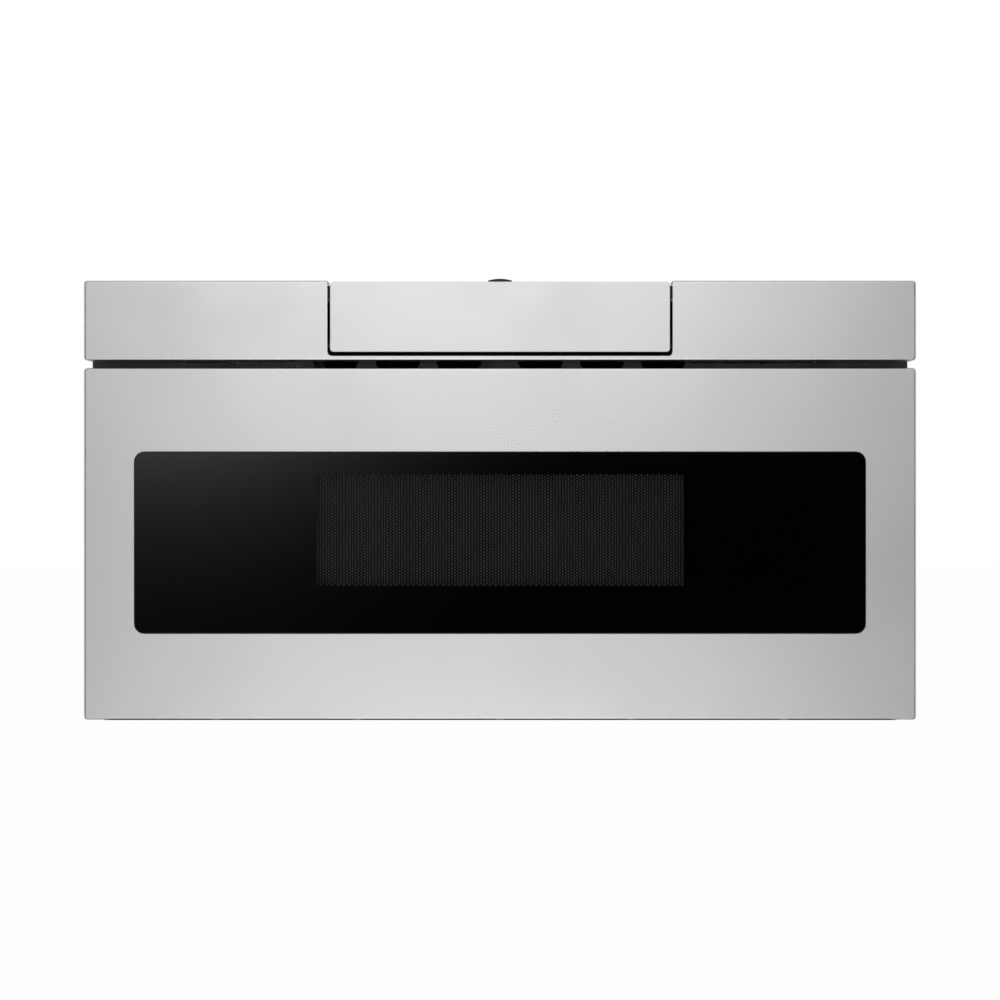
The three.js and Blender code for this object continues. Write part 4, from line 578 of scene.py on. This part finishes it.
# ---------------------------------------------------------------------------
# Cooling: a moulded shroud with its fan and motor, the duct that leads the
# warmed air to the cavity, and the lamp behind the opposite wall.
# ---------------------------------------------------------------------------
black_plastic, tree, shader, place = finish("black_moulding")
worn = use(tree, marks, place, 16.0)
paint(tree, shader, tint(tree, worn, (0.009, 0.009, 0.01), (0.016, 0.016, 0.017)))
rough(tree, shader, worn, 0.38, 0.56)
relief(tree, shader, noise(tree, place, 2200.0, 3.0), 0.00003, 0.5)

acetal, tree, shader, place = finish("acetal", Subsurface_Weight=0.08, Subsurface_Scale=0.004)
paint(tree, shader, tint(tree, noise(tree, place, 30.0), (0.76, 0.74, 0.68), (0.83, 0.81, 0.76)))
rough(tree, shader, use(tree, marks, place, 45.0), 0.26, 0.42)

laminated, tree, shader, place = finish("varnished_laminations", 0.5, 0.3)
stack = wire(tree, "TexWave", place, None, 620.0, 0.6, 2.0, bands_direction="Y")
paint(tree, shader, tint(tree, stack.outputs[1], (0.07, 0.06, 0.055), (0.2, 0.185, 0.17)))
rough(tree, shader, noise(tree, place, 70.0), 0.35, 0.55)
relief(tree, shader, stack.outputs[1], 0.00015, 0.6)

dress("fan_shroud", black_plastic, edge=None, merge=False)
dress("air_duct", black_plastic, 0.0005)
dress("fan_blade", acetal)
stack_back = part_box("fan_motor")[0].x + 0.012
dress(
    "fan_motor", laminated, BROKEN_EDGE,
    ((plated, lambda at, facing: not stack_back - 0.0001 < at.x < stack_back + 0.0181),),
)

lamp_glass, tree, shader, place = finish("lamp_glass", Alpha=0.5)
paint(tree, shader, tint(tree, noise(tree, place, 60.0), (0.85, 0.84, 0.8), (0.95, 0.94, 0.9)))
rough(tree, shader, noise(tree, place, 90.0), 0.1, 0.25)
low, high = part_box("oven_lamp")
lamp_y, lamp_z = (low.y + high.y) / 2, (low.z + high.z) / 2
dress(
    "oven_lamp", plated, BROKEN_EDGE,
    (
        (lamp_glass, lambda at, facing: math.hypot(at.y - lamp_y, at.z - lamp_z) < 0.0072
            and low.x + 0.016 < at.x < high.x - 0.008),
        (porcelain, lambda at, facing: math.hypot(at.y - lamp_y, at.z - lamp_z) < 0.0095
            and at.x < low.x + 0.0195 and abs(facing.x) < 0.5),
    ),
)


# ---------------------------------------------------------------------------
# High-voltage supply: the transformer with its copper windings, and the
# oval capacitor in its clamp, both fixed to the base pan.
# ---------------------------------------------------------------------------
low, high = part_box("hv_transformer")
core_x, core_y = (low.x + high.x) / 2, (low.y + high.y) / 2
dress(
    "hv_transformer", laminated, 0.0004,
    (
        (copper, lambda at, facing: low.z + 0.0195 < at.z < low.z + 0.0645
            and abs(at.x - core_x) < 0.0312
            and (abs(at.y - core_y) > 0.0302 or abs(at.x - core_x) > 0.0305)),
        (plated, lambda at, facing: at.z < low.z + 0.0031),
    ),
)
places = [
    Vector((core_x + x, core_y + y, low.z + 0.003))
    for x in (-0.054, 0.054) for y in (-0.024, 0.024)
]
screws("transformer_screws", "cabinet", (0, 0, 1), places, 1.1)

low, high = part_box("hv_capacitor")
dress(
    "hv_capacitor", aluminium, 0.0004,
    (
        (plated, lambda at, facing: low.z + 0.0398 < at.z < low.z + 0.0522
            or at.z > low.z + 0.0845),
        (black_plastic, lambda at, facing: low.z + 0.0835 < at.z < low.z + 0.0843
            and facing.z > 0.9),
    ),
)


# ---------------------------------------------------------------------------
# Power board: glass-fibre board on four nylon posts, with its relay, line
# filter, capacitors and wiring sockets.
# ---------------------------------------------------------------------------
solder_mask, tree, shader, place = finish("solder_mask", 0.0, 0.4)
tracks = wire(
    tree, "TexBrick", place, (0.02, 0.16, 0.07, 1), (0.026, 0.19, 0.085, 1),
    (0.012, 0.1, 0.045, 1), 60.0,
)
paint(tree, shader, tracks.outputs[0])
rough(tree, shader, noise(tree, place, 120.0), 0.22, 0.34)
nylon, tree, shader, place = finish("white_nylon")
paint(tree, shader, tint(tree, noise(tree, place, 150.0), (0.72, 0.72, 0.7), (0.8, 0.8, 0.78)))
rough(tree, shader, noise(tree, place, 90.0), 0.35, 0.5)
filter_yellow, tree, shader, place = finish("filter_case")
paint(tree, shader, tint(tree, noise(tree, place, 90.0), (0.55, 0.36, 0.05), (0.65, 0.44, 0.08)))
rough(tree, shader, noise(tree, place, 90.0), 0.3, 0.42)
blue_sleeve, tree, shader, place = finish("capacitor_sleeve")
paint(tree, shader, tint(tree, noise(tree, place, 90.0), (0.012, 0.035, 0.12), (0.02, 0.05, 0.17)))
rough(tree, shader, noise(tree, place, 90.0), 0.25, 0.35)
board_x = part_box("power_board")[0].x
board_face = board_x + 0.0078
PARTS_TOP, RELAY_END = 0.2, -0.055
dress(
    "power_board", solder_mask, 0.0002,
    (
        (nylon, lambda at, facing: at.x < board_x + 0.0058
            or (at.x > board_face and at.z > 0.215)),
        (black_plastic, lambda at, facing: at.x > board_face and at.z < PARTS_TOP
            and at.y < RELAY_END),
        (filter_yellow, lambda at, facing: at.x > board_face and at.z < PARTS_TOP
            and RELAY_END < at.y < 0.0),
        (blue_sleeve, lambda at, facing: at.x > board_face and at.z < PARTS_TOP
            and at.y > 0.0),
        (aluminium, lambda at, facing: at.x > board_x + 0.0295 and facing.x > 0.9
            and at.y > 0.0 and at.z < PARTS_TOP),
    ),
)


# ---------------------------------------------------------------------------
# Drawer slides: three rolled and plated members on each side. The outer one
# stands on a bracket, the inner one carries the door and bowl on an angle.
# ---------------------------------------------------------------------------
BRACKET_FACE = -0.2438
for side in ("left", "right"):
    for member in ("slide_outer", "slide_middle", "slide_inner", "door_bracket"):
        dress(f"{member}_{side}", plated)
    dress(f"slide_bracket_{side}", galvanised)
# the pinion runs along the right-hand bracket where its screws would be
low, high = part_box("door_bracket_left")
web = (low.z + high.z) / 2
places = [Vector((BRACKET_FACE, y, web)) for y in (-0.2, -0.06, 0.08)]
screws("bracket_screws_left", "drawer", (1, 0, 0), places, 0.8)
for label, side in (("left", -1), ("right", 1)):
    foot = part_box(f"slide_bracket_{label}")[0].z + 0.0018
    places = [Vector((side * 0.277, y, foot)) for y in (-0.22, -0.02, 0.18)]
    screws(f"slide_bracket_screws_{label}", "cabinet", (0, 0, 1), places, 0.9)


# ---------------------------------------------------------------------------
# Drawer drive: a small gear motor on the base pan, its moulded pinion and
# the toothed rack on the right-hand door bracket.
# ---------------------------------------------------------------------------
grease, tree, shader, place = finish("greased_acetal", 0.0, 0.25, Coat_Roughness=0.15)
smear = use(tree, marks, place, 70.0)
paint(tree, shader, tint(tree, smear, (0.8, 0.78, 0.72), (0.66, 0.6, 0.46)))
rough(tree, shader, smear, 0.36, 0.2)
low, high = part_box("drawer_gearmotor")
dress(
    "drawer_gearmotor", black_plastic, 0.0004,
    (
        (plated, lambda at, facing: at.x < high.x - 0.0342 and at.z > low.z + 0.0026),
        (laminated, lambda at, facing: high.x - 0.0682 < at.x < high.x - 0.0478
            and at.z > low.z + 0.0026),
    ),
)
screws(
    "gearmotor_screws", "cabinet", (0, 0, 1),
    [Vector((high.x - 0.006, y, low.z + 0.0025)) for y in (low.y + 0.005, high.y - 0.005)], 0.75,
)
near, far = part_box("drive_pinion")
axle_y, axle_z = (near.y + far.y) / 2, (near.z + far.z) / 2
dress(
    "drive_pinion", grease, 0.0002,
    ((plated, lambda at, facing: math.hypot(at.y - axle_y, at.z - axle_z) < 0.0042
        and (abs(facing.x) < 0.5 or at.x < near.x + 0.001 or at.x > far.x - 0.0002)),),
)
dress("drawer_rack", grease, 0.0002)


# ---------------------------------------------------------------------------
# Bowl and tray: the enamelled steel bowl that the food stands in, and the
# ivory ceramic glass tray that lies in it.
# ---------------------------------------------------------------------------
dress("drawer_tub", enamel, 0.0004)
ceramic_glass, tree, shader, place = finish("ceramic_glass", 0.0, 0.5, Coat_Roughness=0.05)
paint(tree, shader, tint(tree, noise(tree, place, 900.0), (0.8, 0.79, 0.74), (0.86, 0.85, 0.81)))
rough(tree, shader, use(tree, marks, place, 10.0), 0.16, 0.28)
dress("glass_tray", ceramic_glass, 0.0004)


# ---------------------------------------------------------------------------
# Door inside: a ribbed black moulding fills the skin and holds the steel
# screen, the slotted choke ring, the choke cover and the inner pane.
# ---------------------------------------------------------------------------
dress("door_frame", black_plastic, edge=None, merge=False)
dress("door_screen", dark_plate)
dress("choke_comb", plated, 0.0002, merge=False)

cover_plastic, tree, shader, place = finish("choke_cover_moulding", 0.0, 0.15, Coat_Roughness=0.3)
worn = use(tree, marks, place, 12.0)
paint(tree, shader, tint(tree, worn, (0.012, 0.012, 0.013), (0.022, 0.022, 0.023)))
rough(tree, shader, worn, 0.3, 0.46)
relief(tree, shader, noise(tree, place, 1600.0, 3.0), 0.00002, 0.5)
dress("choke_cover", cover_plastic, merge=False)

pane, tree, shader, place = finish("inner_pane", Alpha=0.85)
smoke = use(tree, marks, place, 8.0)
paint(tree, shader, tint(tree, smoke, (0.56, 0.565, 0.565), (0.63, 0.635, 0.635)))
rough(tree, shader, smoke, 0.05, 0.14)
dress("inner_window", pane)

dress("door_back_panel", enamel, 0.0004)
low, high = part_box("door_back_panel")
places = [Vector((x, high.y, z)) for x in (-0.345, 0.345) for z in (0.03, 0.12, 0.22, 0.3)]
places += [Vector((x, high.y, 0.308)) for x in (-0.2, 0.0, 0.2)]
screws("door_back_screws", "drawer", (0, 1, 0), places, 0.5)


# ---------------------------------------------------------------------------
# Perforated window sheet: blackened steel that keeps the microwaves in, with
# rows of punched holes, each column half a pitch lower than its neighbour.
# ---------------------------------------------------------------------------
HOLE = 0.00088
COLUMN_PITCH, ROW_PITCH = 0.002668, 0.0027
COLUMNS, ROWS = 126, 38
LOWEST_HOLE = 0.1234
SHEET_THICK = 0.0006

sheet_black, tree, shader, place = finish("blackened_screen", 0.3)
tone = noise(tree, place, 300.0)
paint(tree, shader, tint(tree, tone, (0.03, 0.03, 0.031), (0.045, 0.045, 0.046)))
rough(tree, shader, noise(tree, place, 120.0), 0.4, 0.55)


def punched_cell(x, z, face):
    """One cell of the sheet round a hole, open at its four sides."""
    bpy.ops.object.select_all(action="DESELECT")
    bpy.ops.mesh.primitive_plane_add(size=1, location=(x, face, z), rotation=(math.pi / 2, 0, 0))
    cell = bpy.context.object
    cell.scale = (COLUMN_PITCH, ROW_PITCH, 1)
    bpy.ops.object.transform_apply(location=True, rotation=True, scale=True)
    bpy.ops.object.mode_set(mode="EDIT")
    bpy.ops.mesh.select_all(action="SELECT")
    bpy.ops.mesh.delete(type="ONLY_FACE")
    bpy.ops.mesh.primitive_circle_add(
        vertices=8, radius=HOLE, fill_type="NOTHING",
        location=(x, face, z), rotation=(math.pi / 2, math.pi / 8, 0),
    )
    bpy.ops.mesh.select_all(action="SELECT")
    bpy.ops.mesh.bridge_edge_loops()
    bpy.ops.mesh.select_all(action="DESELECT")
    bpy.ops.object.mode_set(mode="OBJECT")
    rim = [v.index for v in cell.data.vertices if math.hypot(v.co.x - x, v.co.z - z) < HOLE * 1.05]
    for edge in cell.data.edges:
        edge.select = all(v in rim for v in edge.vertices)
    bpy.ops.object.mode_set(mode="EDIT")
    bpy.ops.mesh.select_mode(type="EDGE")
    bpy.ops.mesh.extrude_edges_move(TRANSFORM_OT_translate={"value": (0, SHEET_THICK, 0)})
    bpy.ops.mesh.select_all(action="DESELECT")
    bpy.ops.object.mode_set(mode="OBJECT")
    for polygon in cell.data.polygons:
        polygon.select = abs(polygon.normal.y) > 0.9
    bpy.ops.object.mode_set(mode="EDIT")
    bpy.ops.mesh.select_mode(type="FACE")
    bpy.ops.mesh.duplicate_move(TRANSFORM_OT_translate={"value": (0, SHEET_THICK, 0)})
    bpy.ops.mesh.select_all(action="SELECT")
    bpy.ops.mesh.remove_doubles(threshold=2e-6)
    bpy.ops.mesh.select_all(action="DESELECT")
    bpy.ops.object.mode_set(mode="OBJECT")
    # faces point away from the steel: forward, back, and into the hole
    for polygon in cell.data.polygons:
        middle, normal = polygon.center, polygon.normal
        if abs(normal.y) > 0.9:
            outward = (middle.y - face - SHEET_THICK / 2) * normal.y
        else:
            outward = (x - middle.x) * normal.x + (z - middle.z) * normal.z
        polygon.select = outward < 0
    bpy.ops.object.mode_set(mode="EDIT")
    bpy.ops.mesh.flip_normals()
    bpy.ops.object.mode_set(mode="OBJECT")
    return cell


def repeat(piece, count, step):
    apply(
        piece, "ARRAY", count=count, use_relative_offset=False,
        use_constant_offset=True, constant_offset_displace=step,
    )


low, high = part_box("window_mesh")
face = low.y
left = -(COLUMNS - 1) / 2 * COLUMN_PITCH
column = punched_cell(left, LOWEST_HOLE + ROW_PITCH / 2, face)
repeat(column, ROWS - 1, (0, 0, ROW_PITCH))
twin = punched_cell(left + COLUMN_PITCH, LOWEST_HOLE, face)
repeat(twin, ROWS, (0, 0, ROW_PITCH))
# the shorter columns end in half a cell of plain sheet
bottom = LOWEST_HOLE - ROW_PITCH / 2
top = bottom + ROWS * ROW_PITCH


def plain(x0, x1, z0, z1):
    """A plain piece of the sheet, its front and back faces only."""
    made = []
    for y, turn in ((face, math.pi / 2), (face + SHEET_THICK, -math.pi / 2)):
        bpy.ops.object.select_all(action="DESELECT")
        bpy.ops.mesh.primitive_plane_add(
            size=1, location=((x0 + x1) / 2, y, (z0 + z1) / 2), rotation=(turn, 0, 0)
        )
        bpy.context.object.scale = (x1 - x0, z1 - z0, 1)
        bpy.ops.object.transform_apply(location=True, rotation=True, scale=True)
        made.append(bpy.context.object)
    return made


half_cell = COLUMN_PITCH / 2
parts = [column, twin]
parts += plain(left - half_cell, left + half_cell, bottom, bottom + ROW_PITCH / 2)
parts += plain(left - half_cell, left + half_cell, top - ROW_PITCH / 2, top)
repeat(joined(parts), COLUMNS // 2, (2 * COLUMN_PITCH, 0, 0))
right = left - half_cell + COLUMNS * COLUMN_PITCH
border = plain(low.x, left - half_cell, low.z, high.z)
border += plain(right, high.x, low.z, high.z)
border += plain(left - half_cell, right, low.z, bottom)
border += plain(left - half_cell, right, top, high.z)
joined([column, *border])
bpy.ops.object.mode_set(mode="EDIT")
bpy.ops.mesh.select_all(action="SELECT")
bpy.ops.mesh.remove_doubles(threshold=2e-6)
bpy.ops.mesh.select_all(action="DESELECT")
bpy.ops.object.mode_set(mode="OBJECT")
settle(column, "perforated_sheet", sheet_black, "drawer")
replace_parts(column, "window_mesh")


# ---------------------------------------------------------------------------
# Stainless skin of the door: one sheet with its edges folded back, ground
# with a fine belt and then cleaned by many hands.
# ---------------------------------------------------------------------------
grain, given, gives = group(
    "belt_grain",
    [("Place", PLACE, None), ("Along", NUMBER, 9.0), ("Across", NUMBER, 900.0)], "Line",
)
stretch = wire(grain, "CombineXYZ", given[1], given[2], given[2])
drawn = wire(grain, "VectorMath", given[0], stretch.outputs[0], operation="MULTIPLY")
grain.links.new(wire(grain, "TexNoise", drawn.outputs[0], None, 1.0, 3.0, 0.6).outputs[0], gives)

stainless, tree, shader, place = finish("stainless_steel", 1.0)
line = use(tree, grain, place, 12.0, 2600.0)
paint(tree, shader, tint(tree, line, (0.735, 0.731, 0.734), (0.775, 0.771, 0.774)))
rough(tree, shader, use(tree, marks, place, 9.0), 0.24, 0.27)
relief(tree, shader, line, 0.000002, 0.1)
dress("door_skin", stainless)


# ---------------------------------------------------------------------------
# Door glass: 4 mm tempered glass, printed black behind except for the
# window, and bonded into the opening of the skin.
# ---------------------------------------------------------------------------
WINDOW_HALF, WINDOW_MIDDLE, WINDOW_RISE = 0.1679, 0.1731, 0.051
black_glass, tree, shader, place = finish("black_glass", IOR=1.5)
tone = noise(tree, place, 40.0)
paint(tree, shader, tint(tree, tone, (0.0006, 0.0006, 0.0007), (0.0009, 0.0009, 0.001)))
shader.inputs["Roughness"].default_value = 0.03
at = wire(tree, "SeparateXYZ", place).outputs
inside_x = sums(tree, "LESS_THAN", sums(tree, "ABSOLUTE", at[0]), WINDOW_HALF)
from_middle = sums(tree, "ABSOLUTE", sums(tree, "SUBTRACT", at[2], WINDOW_MIDDLE))
inside = sums(tree, "MULTIPLY", inside_x, sums(tree, "LESS_THAN", from_middle, WINDOW_RISE))
on_front = sums(tree, "LESS_THAN", at[1], -0.3122)
clear = wire(tree, "MapRange", on_front, 0.0, 1.0, 0.03, 0.45).outputs[0]
shade = wire(tree, "MapRange", inside, 0.0, 1.0, 1.0)
tree.links.new(clear, shade.inputs["To Max"])
tree.links.new(shade.outputs[0], shader.inputs["Alpha"])
dress("door_glass", black_glass)
dress("door_bottom_trim", black_plastic)


# ---------------------------------------------------------------------------
# Strip above the door and the cover of the control panel in its notch: the
# same stainless sheet as the door.
# ---------------------------------------------------------------------------
dress("top_trim_panel", stainless)
dress("control_cover", stainless)


# ---------------------------------------------------------------------------
# Control panel: a moulded carrier that swings out of its cradle, with the
# touch glass on top, its printed figures, and the display board under it.
# ---------------------------------------------------------------------------
dress("control_housing", black_plastic, 0.0004)
dress("control_carrier", black_plastic, 0.0003)
touch_glass, tree, shader, place = finish("touch_glass", IOR=1.5)
tone = noise(tree, place, 25.0)
paint(tree, shader, tint(tree, tone, (0.002, 0.002, 0.0022), (0.004, 0.004, 0.0043)))
rough(tree, shader, use(tree, marks, place, 30.0), 0.03, 0.12)
dress("control_glass", touch_glass, 0.0003)
dress(
    "control_display", solder_mask, 0.0002,
    ((nylon, lambda at, facing: abs(at.x) > 0.1095),),
)

print_grey, tree, shader, place = finish("printed_grey")
paint(tree, shader, tint(tree, noise(tree, place, 700.0), (0.52, 0.53, 0.54), (0.6, 0.61, 0.62)))
rough(tree, shader, noise(tree, place, 200.0), 0.35, 0.5)
clock_light, tree, shader, place = finish("clock_figures", Emission_Strength=0.6)
glowing = tint(tree, noise(tree, place, 400.0), (0.5, 0.85, 0.9), (0.7, 0.95, 1.0))
paint(tree, shader, glowing)
tree.links.new(glowing, shader.inputs["Emission Color"])
rough(tree, shader, noise(tree, place, 200.0), 0.3, 0.4)

low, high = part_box("control_glass")
TILT = math.radians(22.5)
along = Vector((0, math.cos(TILT), -math.sin(TILT)))
outward = Vector((0, math.sin(TILT), math.cos(TILT)))


def figures(text, x, up, size, material, name):
    """Flat figures on the touch glass, upright when the panel is swung out."""
    bpy.ops.object.select_all(action="DESELECT")
    bpy.ops.object.text_add()
    made = bpy.context.object
    made.data.body = text
    made.data.size = size
    made.data.align_x = "CENTER"
    made.data.align_y = "CENTER"
    made.data.resolution_u = 3
    spot = glass_edge + along * up + outward * 0.00006 + Vector((x, 0, 0))
    turn = Matrix((Vector((1, 0, 0)), along, outward)).transposed().to_4x4()
    made.matrix_world = Matrix.Translation(spot) @ turn
    bpy.ops.object.convert(target="MESH")
    made = bpy.context.object
    settle(made, name, material, "control_panel")
    return made


# the upper front edge of the glass as it lies shut
glass_edge = Vector((0, low.y + 0.0025 * math.sin(TILT), high.z))
labels = []
for number, figure in enumerate("1234567890"):
    x = 0.022 + (number % 5) * 0.0155
    up = 0.0265 if number < 5 else 0.0125
    labels.append(figures(figure, x, up, 0.0085, print_grey, f"figure_{figure}"))
printed = joined(labels)
printed.name = printed.data.name = "printed_figures"
figures("12:30", -0.04, 0.019, 0.02, clock_light, "clock_figures")


# ---------------------------------------------------------------------------
# Door latches: two moulded hooks on the door, and in the cabinet the
# brackets with the small snap switches that they work.
# ---------------------------------------------------------------------------
for side in ("left", "right"):
    dress(f"latch_hook_{side}", acetal)
    dress(f"latch_bracket_{side}", galvanised)
for node in ("interlock_switch_upper", "interlock_switch_lower", "monitor_switch"):
    terminals_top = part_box(node)[0].z + 0.0051
    dress(node, black_plastic, 0.0002, ((plated, lambda at, facing: at.z < terminals_top),))

bpy.data.objects.remove(master_screw)
